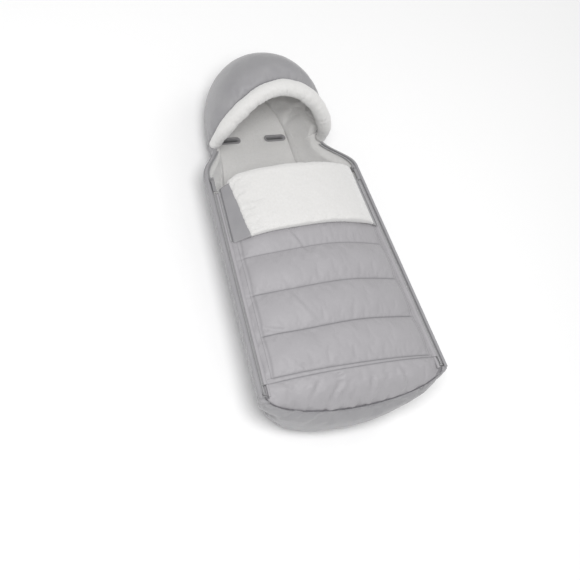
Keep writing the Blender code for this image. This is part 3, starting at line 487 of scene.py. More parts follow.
def stitch_tree(name):
    """Geometry Nodes: evenly spaced copies of a small body along a path, each turned to follow it."""
    tree = bpy.data.node_groups.new(name, "GeometryNodeTree")
    inputs = {"Path": "Geometry", "Unit": "Object", "Spacing": "Float", "Finish": "Material"}
    for label, kind in inputs.items():
        tree.interface.new_socket(label, in_out="INPUT", socket_type="NodeSocket" + kind)
    tree.interface.new_socket("Stitches", in_out="OUTPUT", socket_type="NodeSocketGeometry")
    entry = node(tree, "NodeGroupInput")
    out = node(tree, "NodeGroupOutput")
    curve = node(tree, "GeometryNodeMeshToCurve", None, Mesh=entry.outputs["Path"])
    even = node(tree, "GeometryNodeResampleCurve", {"mode": "LENGTH"}, Curve=curve.outputs["Curve"],
                Length=entry.outputs["Spacing"])
    tangent = node(tree, "GeometryNodeInputTangent")
    normal = node(tree, "GeometryNodeInputNamedAttribute", {"data_type": "FLOAT_VECTOR", "Name": "up"})
    first = node(tree, "FunctionNodeAlignEulerToVector", {"axis": "Y"}, Vector=tangent.outputs[0])
    second = node(tree, "FunctionNodeAlignEulerToVector", {"axis": "Z", "pivot_axis": "Y"},
                  Rotation=first.outputs[0], Vector=normal.outputs["Attribute"])
    unit = node(tree, "GeometryNodeObjectInfo", None, Object=entry.outputs["Unit"])
    copies = node(tree, "GeometryNodeInstanceOnPoints", None, Points=even.outputs["Curve"],
                  Instance=unit.outputs["Geometry"], Rotation=second.outputs[0])
    real = node(tree, "GeometryNodeRealizeInstances", None, Geometry=copies.outputs["Instances"])
    dressed = node(tree, "GeometryNodeSetMaterial", None, Geometry=real.outputs["Geometry"],
                   Material=entry.outputs["Finish"])
    tree.links.new(dressed.outputs["Geometry"], out.inputs["Stitches"])
    return tree


ROW_OF_COPIES = stitch_tree("row_of_copies")


def capsule(name, length, width, height, sides=6):
    """One small rounded body, lying along Y."""
    rings = []
    for along, share in ((-0.5, 0.35), (-0.38, 0.85), (0.0, 1.0), (0.38, 0.85), (0.5, 0.35)):
        turn = np.arange(sides) * 2 * math.pi / sides
        rings.append(np.stack((width / 2 * share * np.sin(turn), np.full(sides, along * length) + CENTRE,
                               height / 2 * share * np.cos(turn)), axis=1))
    unit = tube(name, rings, THREAD_GREY)
    unit.hide_render = True
    return unit


STITCH_UNIT = capsule("stitch_unit", STITCH_LENGTH * 0.82, THREAD * 1.5, THREAD * 1.3)


def row(name, paths, body, finish, unit=None, spacing=STITCH_LENGTH, ends=None):
    """Copies along paths of (points, normals), as one plain mesh that rides on a body; given ends, it only
    has its placement baked in.
    """
    points = np.concatenate([p for p, n in paths])
    ups = np.concatenate([n for p, n in paths])
    edges, start = [], 0
    for p, n in paths:
        edges += [(start + k, start + k + 1) for k in range(len(p) - 1)]
        start += len(p)
    mesh = mesh_of(name, points, edges, [])
    up = mesh.attributes.new("up", "FLOAT_VECTOR", "POINT")
    up.data.foreach_set("vector", ups.astype(np.float32).ravel())
    obj = placed(name, mesh)
    maker = obj.modifiers.new("copies", "NODES")
    maker.node_group = ROW_OF_COPIES
    values = {"Unit": unit or STITCH_UNIT, "Spacing": spacing, "Finish": finish}
    for item in ROW_OF_COPIES.interface.items_tree:
        if item.in_out == "INPUT" and item.name in values:
            maker[item.identifier] = values[item.name]
    plain(obj)
    moves(obj, body, ends)
    return obj


lip_points = ((SLOT_WALL - 0.0003, 0.0006), (SLOT_WALL - 0.0003, LIP_LEVEL), (LIP_WIDTH, LIP_LEVEL),
              (LIP_WIDTH + 0.0004, LIP_LEVEL + 0.0007), (LIP_WIDTH - 0.0002, LIP_LEVEL + 0.0014),
              (0.0010, LIP_LEVEL + 0.0018), (0.0001, LIP_LEVEL + 0.0012), (0.0, 0.0006))
slot_rows = []
for slot_name, (x, y) in SLOTS.items():
    profile = [np.c_[slot_ring(x, y, grow, 36), np.full(36, z)] for grow, z in lip_points]
    binding = tube(slot_name + "_tape", np.stack(profile, axis=1), TAPE, closed=True)
    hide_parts(slot_name + "_binding")
    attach(binding, "tub")
    ring = slot_ring(x, y, LIP_WIDTH * 0.62, 36)
    ring = np.c_[np.concatenate((ring, ring[:1])), np.full(37, LIP_LEVEL + 0.0018)]
    slot_rows.append((ring, np.zeros_like(ring) + UP))
row("slot_stitches", slot_rows, "tub", THREAD_GREY)

# ---- Side walls -----------------------------------------------------------------------------------------
# Left and right side: woven polyester over loose polyester fill outside, white plush inside. Both are sewn
# flat to the zip tape along the top and to the back panel along the foot, and puff up between the seams.

ZIP_HALVES = (0.224, 0.192, 0.132)
ZIP_HEIGHTS = (0.178, 0.139, 0.104)
ZIP_SPACE = 0.0083
EDGE_CLEAR = 0.0015
EDGE_STACK = 0.0048
EDGE_RISE = 0.001
FOOT = 0.0257
WALL_STEPS = 27
SKIRT_STEPS = 8
TOE_SEAM = 0.056
TOE_SEAM_RISE = 0.146
CROWN_RISE = 0.258
CROWN_LEAN = 0.060
TOE_COLUMNS = 64
SIDE_COLUMNS = 96
BEND_COLUMNS = 26
HOOD_COLUMNS = 100
# How far a wall's curve sets off: out and up at its foot, out and up at its top. The ups of the side and the
# tip are shares of the wall's height, and the side's first is a share of its width; the rest is metres.
SIDE_REACH = (0.50, 0.16, 0.002, -0.30)
TIP_REACH = (0.028, 0.12, 0.028, -0.48)
CROWN_REACH = (0.036, 0.50 * (CROWN_RISE - BACK_TOP), 0.085, 0.030)
CLOTH_DEPTHS = (0.0154, 0.0029)
LINING_DEPTHS = (0.0218, 0.0048)
SWELL_PRESSURE = 5.0
SWELL_STIFFNESS = 0.3
SWELL_FRAMES = 20
SKIRT_DEEP = 0.0018
ROOF_STEPS = 7


def along_zip(toe, fold, mouth, y):
    """Straight along the cover, then bending to the foot of the hood."""
    foot = lerp(toe, fold, MOUTH_Y / COVER_LENGTH)
    bend = smooth((y - STRAIGHT_END) / (MOUTH_Y - STRAIGHT_END))
    return lerp(toe, fold, y / COVER_LENGTH) + (mouth - foot) * bend


def zip_half(y):
    return along_zip(*ZIP_HALVES, y)


def zip_rise(y):
    return along_zip(*ZIP_HEIGHTS, y)


def edge_out(y):
    slant = (zip_half(y + 0.0004) - zip_half(y - 0.0004)) / 0.0008
    return ZIP_SPACE + EDGE_CLEAR + EDGE_STACK * np.hypot(1, slant)


def wall_curve(base, top, out, reach):
    """Cubic curves up a wall; reach holds how far out and up each end of the curve sets off."""
    t = np.linspace(0, 1, WALL_STEPS + 1)[None, :, None]
    side = np.concatenate((out, np.zeros((len(out), 1))), axis=1)
    first = base + side * reach[0][:, None] + UP * reach[1][:, None]
    second = top + side * reach[2][:, None] + UP * reach[3][:, None]
    base, first, second, top = (p[:, None] for p in (base, first, second, top))
    return (1 - t) ** 3 * base + 3 * (1 - t) ** 2 * t * first + 3 * (1 - t) * t ** 2 * second + t ** 3 * top


def side_reach(y):
    width = zip_half(y) + edge_out(y) - base_half(y)
    height = zip_rise(y) + EDGE_RISE - BACK_TOP
    foot_out, foot_up, top_out, top_up = SIDE_REACH
    return [foot_out * width, foot_up * height, top_out + 0 * y, top_up * height]


def side_columns(ys, side):
    y = np.asarray(ys)
    base = np.stack((base_half(y) * side, y, np.full_like(y, FOOT)), axis=1)
    top = np.stack(((zip_half(y) + edge_out(y)) * side, y, zip_rise(y) + EDGE_RISE), axis=1)
    return wall_curve(base, top, np.stack((np.full_like(y, side), 0 * y), axis=1), side_reach(y))


def toe_rise(forward):
    return lerp(zip_rise(TOE_START) + EDGE_RISE, TOE_SEAM_RISE, forward ** 1.3)


def toe_columns(angles):
    side, forward = np.sin(angles), np.abs(np.cos(angles))
    y0 = np.full_like(side, TOE_START)
    base = np.stack((base_half(y0) * side, y0 - TOE_BASE * forward, np.full_like(side, FOOT)), axis=1)
    top_half = zip_half(y0) + edge_out(y0)
    top = np.stack((top_half * side, y0 - TOE_SEAM * forward, toe_rise(forward)), axis=1)
    height = top[:, 2] - BACK_TOP
    foot_out, foot_up, top_out, top_up = TIP_REACH
    tip = [foot_out + 0 * side, foot_up * height, top_out + 0 * side, top_up * height]
    reach = [lerp(a, b, forward ** 2) for a, b in zip(side_reach(y0), tip)]
    return wall_curve(base, top, np.stack((side, -forward), axis=1), reach)


def mouth_line(angles):
    """Edge of the hood at its mouth, from the right foot over the crown to the left."""
    half = zip_half(MOUTH_END) + edge_out(MOUTH_END)
    return np.stack((half * np.cos(angles), MOUTH_END + CROWN_LEAN * np.sin(angles) ** 2,
                     lerp(zip_rise(MOUTH_END) + EDGE_RISE, CROWN_RISE, np.sin(angles))), axis=1)


def hood_columns(angles):
    side = np.abs(np.cos(angles)) ** (2 / HOOD_POWER) * np.sign(np.cos(angles))
    back = np.abs(np.sin(angles)) ** (2 / HOOD_POWER)
    base = np.stack((BASE_HALF_MOUTH * side, MOUTH_END + HOOD_BASE * back, np.full_like(side, FOOT)), axis=1)
    out = direction(np.stack((side, back), axis=1))
    reach = [lerp(a, b, back ** 1.6) for a, b in zip(side_reach(np.full_like(side, MOUTH_END)), CROWN_REACH)]
    return wall_curve(base, mouth_line(angles), out, reach)


def outline():
    """Outer surface of the tub, in columns from the left toe corner through toe, right wall and hood."""
    ys = np.concatenate((np.linspace(TOE_START, STRAIGHT_END, SIDE_COLUMNS + 1)[:-1],
                         np.linspace(STRAIGHT_END, MOUTH_END, BEND_COLUMNS + 1)))
    return np.concatenate((toe_columns(np.linspace(-math.pi / 2, math.pi / 2, TOE_COLUMNS + 1)[:-1]),
                           side_columns(ys[:-1], 1),
                           hood_columns(np.linspace(0, math.pi, HOOD_COLUMNS + 1)[:-1]),
                           side_columns(ys[:0:-1], -1)))


TUB = outline()
ring_step = np.roll(TUB, -1, axis=0) - np.roll(TUB, 1, axis=0)
OUT = np.cross(ring_step, np.gradient(TUB, axis=1))
OUT[:, 0, 2] = 0.0
OUT = direction(OUT)
TOE_END = TOE_COLUMNS
RIGHT_END = TOE_END + SIDE_COLUMNS + BEND_COLUMNS
HOOD_END = RIGHT_END + HOOD_COLUMNS
THIN = smooth((np.linspace(0, 1, WALL_STEPS + 1) - 0.68) / 0.32)
CLOTH_DEEP = lerp(*CLOTH_DEPTHS, THIN)
LINING_TOP = CLOTH_DEEP + LAYER_GAP
LINING_DEEP = lerp(*LINING_DEPTHS, THIN)


def panel(start, end, depth):
    """Columns of one panel at a depth under the outer surface, drawn back 0.4 mm at both side seams."""
    index = np.arange(start, end + 1) % len(TUB)
    points = TUB[index] - OUT[index] * np.asarray(depth)[None, :, None]
    for edge, neighbour in ((0, 1), (-1, -2)):
        points[edge] += direction(points[neighbour] - points[edge]) * LAYER_GAP
    return points, OUT[index]


def swell(start, held, grow, cap, seed):
    """Blows a sewn cloth panel up: held points stay, and the spare cloth buckles as it does over filling.
    Each point moves by cap at most. Smooth lumps roughen the free points before the simulation."""
    rows, cols = start.shape[:2]
    ragged = lumps(start, 0.026, seed) * 0.0005 * ~held
    start = start + facing(start) * ragged[..., None]
    index = np.arange(rows * cols).reshape(rows, cols)
    quads = np.stack((index[:-1, :-1], index[1:, :-1], index[1:, 1:], index[:-1, 1:]), axis=-1).reshape(-1, 4)
    mesh = bpy.data.meshes.new("swelling_panel")
    mesh.from_pydata(start.reshape(-1, 3).tolist(), [], quads.tolist())
    obj = placed("swelling_panel", mesh)
    obj.vertex_groups.new(name="sewn").add(np.flatnonzero(held.ravel()).tolist(), 1.0, "REPLACE")
    cloth = obj.modifiers.new("cloth", "CLOTH")
    cloth.settings.vertex_group_mass = "sewn"
    cloth.settings.quality = 5
    cloth.settings.mass = 0.001
    cloth.settings.bending_stiffness = SWELL_STIFFNESS
    cloth.settings.shrink_min = cloth.settings.shrink_max = -grow
    cloth.settings.use_pressure = True
    cloth.settings.uniform_pressure_force = SWELL_PRESSURE
    cloth.settings.effector_weights.gravity = 0.0
    cloth.collision_settings.use_collision = False
    cloth.point_cache.frame_start, cloth.point_cache.frame_end = 1, SWELL_FRAMES
    for frame_number in range(1, SWELL_FRAMES + 1):
        bpy.context.scene.frame_set(frame_number)
    result = obj.evaluated_get(bpy.context.evaluated_depsgraph_get()).data
    points = np.empty(rows * cols * 3, dtype=np.float32)
    result.vertices.foreach_get("co", points)
    bpy.data.objects.remove(obj)
    bpy.context.scene.frame_set(1)
    move = points.reshape(rows, cols, 3).astype(float) - start
    far = np.linalg.norm(move, axis=2, keepdims=True)
    return start + move * (cap * np.tanh(far / cap) / np.maximum(far, 1e-9))


def gathered(grid, along, gap, strength, seed):
    """Short folds that run off a tight row of stitches into the puffed cloth; gap is the distance from it."""
    spot = np.stack((along + 0.15 * gap, 0 * gap, 0 * gap), axis=-1)
    ripple = lumps(spot, 0.015, seed) + 0.4 * lumps(spot, 0.008, seed + 10)
    reach = lerp(0.010, 0.024, (lumps(spot, 0.05, seed + 20) + 1) / 2)
    rise = strength * ripple * np.exp(-gap / reach) * (1 - np.exp(-gap / 0.0022))
    return grid + facing(grid) * rise[..., None]


def edges_held(grid):
    held = np.zeros(grid.shape[:2], bool)
    held[[0, -1]] = held[:, [0, -1]] = True
    return held


def skirt(start, end, extra=0.0):
    """The wall cloth below the panel's foot, rounded under to the back panel's lower edge."""
    index = np.arange(start, end + 1) % len(TUB)
    levels = np.linspace(0.0026, FOOT, SKIRT_STEPS + 1)[:-1]
    foot, out = TUB[index, :1], OUT[index, :1]
    points = foot - out * (round_under(levels) + extra)[None, :, None]
    points[..., 2] = levels
    return points


SLACK = np.interp(np.arange(len(TUB)),
                  (0, TOE_END, RIGHT_END - 30, RIGHT_END, HOOD_END, HOOD_END + 30, len(TUB)),
                  (0.010, 0.010, 0.0075, 0, 0, 0.0075, 0.010))
SUNK = np.sin(math.pi * np.linspace(0, 1, WALL_STEPS + 1)) ** 1.5


def tub_cloth(part, start, end, grow, cap, seed, gather=0.0004, over=None):
    """Outer cloth and fill of one wall, blown up between its seams, with its foot rounded under. Its middle
    sinks in a little; over is a line that its upper edge rolls over to."""
    outside, out = panel(start, end, np.zeros(WALL_STEPS + 1))
    index = np.arange(start, end + 1) % len(TUB)
    outside = outside - out * (SLACK[index][:, None] * SUNK[None, :])[..., None]
    under = skirt(start, end)
    rows = under.shape[1]
    face = np.concatenate((under, outside), axis=1)
    inside, _ = panel(start, end, CLOTH_DEEP)
    deeper = skirt(start, end, SKIRT_DEEP)
    inside[:, 0] = deeper[:, -1] + UP * 0.003
    inside = np.concatenate((deeper, inside), axis=1)
    if over is not None:
        t = np.arange(1, ROOF_STEPS + 1)[None, :, None] / ROOF_STEPS
        arch = UP * np.sin(math.pi * t) ** 0.8
        high = lerp(0.0050, 0.0016, smooth((np.abs(over[:, 0]) - 0.200) / 0.014))[:, None, None]
        roof = lerp(face[:, -1:], over[:, None], t) + arch * high
        under_roof = lerp(inside[:, -1:], over[:, None] - UP * 0.0025, t) + arch * 0.0012
        face, inside = np.concatenate((face, roof), axis=1), np.concatenate((inside, under_roof), axis=1)
    held = edges_held(face)
    held[:, :rows] = True
    blown = swell(face, held, grow, cap, seed)
    face, inside = (finer(g, 2, 2) for g in (blown, inside))
    gap = np.linalg.norm(face - face[:, -1:], axis=2)
    face = gathered(face, distances(face[:, -1])[:, None] + 0 * gap, gap, gather, seed + 60)
    # Painted shade: the cloth is darkened along its top edge, where shade falls in the seam by the zip.
    piece = skin(f"{part}_cloth", face, inside, SIDE_CLOTH, rim=2, rounding=0.6,
                 seam=np.exp(-gap / 0.003))
    soft(piece, (f"{part}_shell", f"{part}_batting"))


def tub_plush(part, start, end, seed, shape=None):
    """Plush inside of one wall."""
    outside, out = panel(start, end, LINING_TOP)
    inside, _ = panel(start, end, LINING_DEEP - 0.0006)
    if shape is not None:
        inside = shape(inside, out)
    outside, inside = (finer(g, 3, 3) for g in (outside, inside))
    full = np.minimum(1.0, np.linalg.norm(outside - inside, axis=2) / 0.005)
    full = full[..., None]
    inside = fleece(inside, facing(inside, -1), height=0.0008, seed=seed) * full + inside * (1 - full)
    piece = skin(f"{part}_plush", outside, inside, PLUSH, rim=2, rounding=0.5)
    soft(piece, (f"{part}_lining",))


tub_cloth("wall_right", TOE_END, RIGHT_END, grow=0.020, cap=0.003, seed=21)
tub_cloth("wall_left", HOOD_END, len(TUB), grow=0.020, cap=0.003, seed=22)
tub_plush("wall_right", TOE_END, RIGHT_END, seed=31)
tub_plush("wall_left", HOOD_END, len(TUB), seed=32)

# ---- Toe gusset -----------------------------------------------------------------------------------------
# The curved band round the feet: the same cloth, fill and plush as the walls, cut full so that it bulges
# over the foot end. The seam to the toe panel gathers its upper edge.

TOE_PANEL_REACH = 0.047
SEAM_REACH = 0.0008


def cover_half(y):
    return zip_half(y) - ZIP_SPACE


def toe_seam_line(angles):
    """Middle of the toe seam, the unit step across it, outwards, and the edge of the toe panel."""
    side, forward = np.sin(angles), np.abs(np.cos(angles))
    ahead = TOE_START - TOE_PANEL_REACH * forward
    inner = np.stack((cover_half(0.0) * side, ahead, toe_rise(forward)), axis=1)
    outer = panel(0, TOE_END, LINING_DEEP)[0][:, -1]
    turns = np.linspace(-math.pi / 2, math.pi / 2, len(outer))
    outer = np.stack([np.interp(angles, turns, outer[:, k]) for k in range(3)], axis=1)
    return (inner + outer) / 2, direction(outer - inner), inner


seam_middle, seam_across, _ = toe_seam_line(np.linspace(-math.pi / 2, math.pi / 2, TOE_END + 1))
tub_cloth("toe_gusset", 0, TOE_END, grow=0.060, cap=0.008, seed=23, gather=0.0036,
          over=seam_middle + seam_across * SEAM_REACH)
tub_plush("toe_gusset", 0, TOE_END, seed=33)

# ---- Hood -----------------------------------------------------------------------------------------------
# A rounded cap behind the head: side cloth outside, plush inside, cut deep and drawn in at the mouth. The
# plush creases where its back meets its sides.

# Where each crease starts round the hood, how far it leans, how wide and how deep it is.
HOOD_CREASES = ((0.27, -0.10, 0.045, 0.0065), (0.73, 0.10, 0.04, 0.0040), (0.20, -0.45, 0.055, 0.0120),
                (0.10, 0.35, 0.050, 0.0110), (0.36, 0.10, 0.05, 0.0040), (0.86, -0.2, 0.05, 0.0040))

tub_cloth("hood", RIGHT_END, HOOD_END, grow=0.035, cap=0.007, seed=24)


def hood_creases(inside, out):
    """Upright creases in the plush, each with a roll of cloth beside it, deepest halfway up."""
    angle = np.linspace(0, math.pi, inside.shape[0])[:, None]
    rise = np.linspace(0, 1, inside.shape[1])[None, :]
    for place, lean, wide, deep in HOOD_CREASES:
        line = place * math.pi + lean * rise
        fold, roll = bell(angle - line, wide), bell(angle - line - 2.2 * wide, 1.6 * wide)
        inside = inside + out * ((deep * fold - 0.5 * deep * roll) * np.sin(math.pi * rise) ** 0.6)[..., None]
    return inside


tub_plush("hood", RIGHT_END, HOOD_END, seed=34, shape=hood_creases)

seam_paths = []
for column in (0, TOE_END, RIGHT_END, HOOD_END):
    for step in (-2, 2):
        raised = OUT[column, 1:-1] * (0.0006 - SLACK[column] * SUNK[1:-1])[:, None]
        beside = (TUB[(column + step) % len(TUB), 1:-1] - TUB[column, 1:-1]) * 0.35
        side_line = TUB[column, 1:-1] + raised + beside
        seam_paths.append((side_line, OUT[column, 1:-1]))
row("panel_seam_stitches", seam_paths, "tub", THREAD_GREY)

# ---- Hood rim -------------------------------------------------------------------------------------------
# A thick roll of plush round the mouth of the hood, stuffed with fill round a flat elastic that draws it in.

ROLL_RADIUS = 0.0205
ROLL_FOOT_RADIUS = 0.0140
ROLL_STEPS = 190
ROLL_SIDES = 56

foot_rise = zip_rise(MOUTH_END) + EDGE_RISE
start_angle = math.asin(0.0065 / (CROWN_RISE - foot_rise))
angles = np.linspace(start_angle, math.pi - start_angle, ROLL_STEPS)
mouth = mouth_line(angles)
tangent = direction(np.gradient(mouth, axis=0))
back = direction((0.0, 1.0, 0.0) - tangent * tangent[:, 1:2])
core = mouth - back * (ROLL_RADIUS + 0.0005)
across = np.cross(tangent, back)
radius = lerp(ROLL_FOOT_RADIUS, ROLL_RADIUS, smooth(np.sin(angles) / 0.5))
turn = np.linspace(0, 2 * math.pi, ROLL_SIDES, endpoint=False)
spoke = np.cos(turn)[None, :, None] * back[:, None] + np.sin(turn)[None, :, None] * across[:, None]
roll = core[:, None] + spoke * (radius - 0.0008)[:, None, None]
swollen = lumps(roll, 0.030, 41) * 0.0012 + lumps(roll, 0.011, 42) * 0.0006 + lumps(roll, 0.0055, 43) * 0.0004
gather = lumps(np.stack((angles * 9.0, 0 * angles, 0 * angles), axis=1), 0.30, 44)
inward = np.clip(-np.cos(turn), 0, 1)[None, :]
roll += spoke * (swollen - 0.0022 * np.clip(gather, 0, 1)[:, None] * inward)[..., None]
end_caps = []
for end, way in ((0, -1), (-1, 1)):
    for share in (0.93, 0.75, 0.45, 0.12):
        bulge = math.sqrt(1 - share ** 2) * 0.5
        ring = core[end] + (roll[end] - core[end]) * share + way * tangent[end] * radius[end] * bulge
        end_caps.append(ring)
rings = np.concatenate((np.stack(end_caps[:4][::-1]), roll, np.stack(end_caps[4:])))
rim_roll = tube("hood_rim_roll", rings, PLUSH)
soft(rim_roll, ("hood_rim", "hood_elastic"))

# ---- Toe panel ------------------------------------------------------------------------------------------
# The D-shaped panel over the feet: cover cloth over fill and plush. It joins the cover at the upper seam and
# the gusset at the toe seam, which gathers it so that folds run up from its rim.

COVER_CLOTH = woven("woven_polyester_cover", "#A19FA2", "#A6A4A7", 0.30)
COVER_STEPS = 86
TOE_PANEL_ROWS = 20
EDGE_ROLL = 0.045
CLOSE_TO_HINGE = -0.00015
# Thickness at an edge and in the middle.
SHELL_THICK = (0.001, 0.002)
TOE_FILL = (0.0015, 0.013)
TOE_PLUSH = (0.0015, 0.006)
BINDING_RADIUS = 0.0016
# Each fold: its line of places, how wide and how deep it is.
TOE_FOLDS = ((((-0.059, -0.015), (-0.033, -0.001)), 0.006, 0.0038),
             (((-0.078, -0.072), (-0.068, -0.052), (-0.050, -0.026)), 0.005, 0.0056),
             (((0.110, -0.012), (0.118, -0.032), (0.127, -0.058)), 0.006, 0.0050),
             (((-0.100, -0.016), (-0.126, -0.056)), 0.006, 0.0042),
             (((0.020, -0.074), (0.030, -0.045), (0.034, -0.022)), 0.005, 0.0044),
             (((-0.020, -0.074), (-0.014, -0.045)), 0.005, 0.0040))


def from_edge(x, y):
    return cover_half(y) - np.abs(x)


def edge_share(x, y):
    """0 at the cover's side edge, 1 where the padding has its full thickness."""
    return smooth(from_edge(x, y) / EDGE_ROLL)


def seam_level(x, y):
    """Height of the quilting seams: an arch across the cover."""
    arch = lerp(0.027, 0.054, np.maximum(y, 0.0) / COVER_LENGTH)
    return zip_rise(y) + EDGE_RISE + arch * (1 - np.minimum(np.abs(x) / cover_half(y), 1.0) ** 2.3)


def crease(grid, points, wide, deep):
    """Presses a soft fold into a panel along a line of places, with a roll of cloth beside it."""
    x, y = grid[..., 0], grid[..., 1]
    nearest, signed, along = np.full(x.shape, 9.0), np.zeros(x.shape), np.zeros(x.shape)
    count = len(points) - 1
    for k, (a, b) in enumerate(zip(points, points[1:])):
        dx, dy = b[0] - a[0], b[1] - a[1]
        length = math.hypot(dx, dy)
        t = np.clip(((x - a[0]) * dx + (y - a[1]) * dy) / length ** 2, 0, 1)
        gap = np.hypot(x - a[0] - t * dx, y - a[1] - t * dy)
        cross = ((x - a[0]) * dy - (y - a[1]) * dx) / length
        closer_here = gap < nearest
        nearest = np.where(closer_here, gap, nearest)
        signed = np.where(closer_here, np.sign(cross) * gap, signed)
        along = np.where(closer_here, (k + t) / count, along)
    fade = np.sin(math.pi * np.clip(along * 0.9 + 0.05, 0, 1)) ** 0.5 * smooth(np.abs(y) / 0.012)
    shape = 0.7 * bell(signed - 1.5 * wide, 1.2 * wide) - bell(signed, wide)
    return grid + facing(grid) * (deep * fade * shape)[..., None]


toe_angles = np.linspace(-math.pi / 2, math.pi / 2, 84)
middle, across, toe_far = toe_seam_line(toe_angles)
toe_rim = lerp(toe_far, middle - across * SEAM_REACH, smooth(np.abs(np.cos(toe_angles)) / 0.06)[:, None])
down = np.linspace(0, 1, TOE_PANEL_ROWS + 1)[None, :]
toe_x, toe_y = toe_far[:, :1] + 0 * down, lerp(CLOSE_TO_HINGE, toe_far[:, 1:2], down)
wide_x, wide_y = toe_rim[:, :1] + 0 * down, lerp(CLOSE_TO_HINGE, toe_rim[:, 1:2], down)
seam = lerp(seam_level(toe_x, 0.0), toe_far[:, 2:], down ** 1.7)
full = np.minimum(4 * down * (1 - down), 1) * edge_share(toe_x, 0.0)
puff = 0.009 * np.abs(np.sin(math.pi * down)) ** 0.7 * edge_share(toe_x, 0.0)
crown = lerp(seam_level(wide_x, 0.0), toe_rim[:, 2:], down ** 1.7) + puff
toe_face = np.stack((wide_x, wide_y, crown), axis=-1)[:, ::-1]
toe_face = swell(toe_face, edges_held(toe_face), grow=0.012, cap=0.005, seed=51)
for points, wide, deep in TOE_FOLDS:
    toe_face = crease(toe_face, points, wide, deep)
bottom = seam - lerp(*SHELL_THICK, full) - LAYER_GAP - lerp(*TOE_FILL, full)
toe_low = np.stack((toe_x, toe_y, bottom), axis=-1)[:, ::-1]
toe_face, toe_low = (finer(g, 2, 3) for g in (toe_face, toe_low))
gap = np.linalg.norm(toe_face - toe_face[:, :1], axis=2)
ruffled = gathered(toe_face, distances(toe_face[:, 0])[:, None] + 0 * gap, gap, strength=0.0026, seed=53)
toe_face = lerp(toe_face, ruffled, smooth(np.abs(toe_face[..., 1]) / 0.010)[..., None])
# The two corners lie low, so that the sliders pass over them.
corner = smooth((np.abs(toe_face[..., 0]) - 0.2150) / 0.0030) * smooth((toe_face[..., 1] + 0.0290) / 0.004)
drop = corner * np.clip(toe_face[..., 2] - zip_rise(toe_face[..., 1]) + 0.0046, 0, None)
toe_face, toe_low = (g - drop[..., None] * UP for g in (toe_face, toe_low))
# Painted shade: the cloth is darkened along the toe seam and the hinge, where shade falls in the seams.
sewn = np.maximum(np.exp(-gap / 0.002), np.exp(-np.abs(toe_face[..., 1]) / 0.0012))
toe_quilt = skin("toe_panel_quilt", toe_face, toe_low, COVER_CLOTH, rounding=0.6, seam=sewn)
soft(toe_quilt, ("toe_panel_shell", "toe_panel_batting"))

under = toe_low - UP * LAYER_GAP
thick = finer(lerp(*TOE_PLUSH, full)[:, ::-1, None], 2, 3)[..., 0]
pile = under - thick[..., None] * UP
nap = fleece(pile, facing(pile, -1), height=0.0008, seed=52)
pile = lerp(pile, nap, np.minimum(thick / TOE_PLUSH[1], 1)[..., None])
toe_plush = skin("toe_panel_plush", under, pile, PLUSH, rim=2, rounding=0.5)
soft(toe_plush, ("toe_panel_lining",))

# ---- Toe seam binding -----------------------------------------------------------------------------------
# A narrow strip of woven tape sewn over the seam of toe panel and gusset; its dark colour is painted shade of
# the crease that it lies in. Its thread is drawn tight, so it ruckles all the way round.

middle = closer(middle, 5) - (0, 0, 0.0006)
tangent = direction(np.gradient(middle, axis=0))
rise = direction(UP - tangent * tangent[:, 2:])
sideways = np.cross(tangent, rise)
turn = np.linspace(0, 2 * math.pi, 14, endpoint=False)
ruckle = 1 + 0.30 * lumps(middle, 0.0065, 61) + 0.15 * lumps(middle, 0.003, 62)
rings = (middle[:, None] + np.cos(turn)[None, :, None] * (sideways * BINDING_RADIUS)[:, None]
         + np.sin(turn)[None, :, None] * (rise * (BINDING_RADIUS * ruckle)[:, None])[:, None])
toe_binding = tube("toe_seam_binding_strip", rings[10:-10], TAPE_PAINTED_SHADE)
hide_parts("toe_seam_binding")
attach(toe_binding, "tub")
seam_path = (middle[4:-4] + rise[4:-4] * BINDING_RADIUS * 0.98, rise[4:-4])
row("toe_seam_stitches", [seam_path], "tub", THREAD_GREY)

# ---- Tub zip halves -------------------------------------------------------------------------------------
# Nylon coil zips along both walls: a knitted tape and a coil of spun monofilament, whose turns are the
# teeth. The real coil has a turn each 1.3 mm. A pressed metal stop closes each at the toe.

COIL_WIDTH = 0.0024
COIL_HEIGHT = 0.0024
TOOTH_SPACING = 0.0013
COIL_NEAR = 0.0001
TAPE_THICK = 0.0011
CORD_THICK = 0.0012
TAPE_NEAR = 0.0003
TAPE_FAR = 0.0080
ZIP_LOW_END = -0.0188
ROLL_LOW_END = -0.0280
ROLL_TURNS = 16
SIDES = {-1: "left", 1: "right"}


def nylon(name, dark, light):
    """Extruded nylon monofilament: smooth and slightly glossy, dyed through."""
    mat, tree, shader = blank(name, Roughness=0.38)
    spot = node(tree, "ShaderNodeTexCoord")
    tinted(tree, shader, spot.outputs["Object"], 0.004, dark, light)
    return mat


COIL = nylon("nylon_coil", "#A9A9AA", "#BDBDBE")
TOOTH_UNIT = capsule("tooth_unit", 0.0011, COIL_WIDTH, COIL_HEIGHT)
TOOTH_UNIT.data.materials[0] = COIL


def ribbon(name, inner, outer, height, finish):
    """A thin flat strip between two lines of points."""
    lift = UP * height / 2
    rings = np.stack((inner - lift, (inner + outer) / 2 - lift * 1.2, outer - lift, outer + lift,
                      (inner + outer) / 2 + lift * 1.2, inner + lift), axis=1)
    return tube(name, rings, finish)


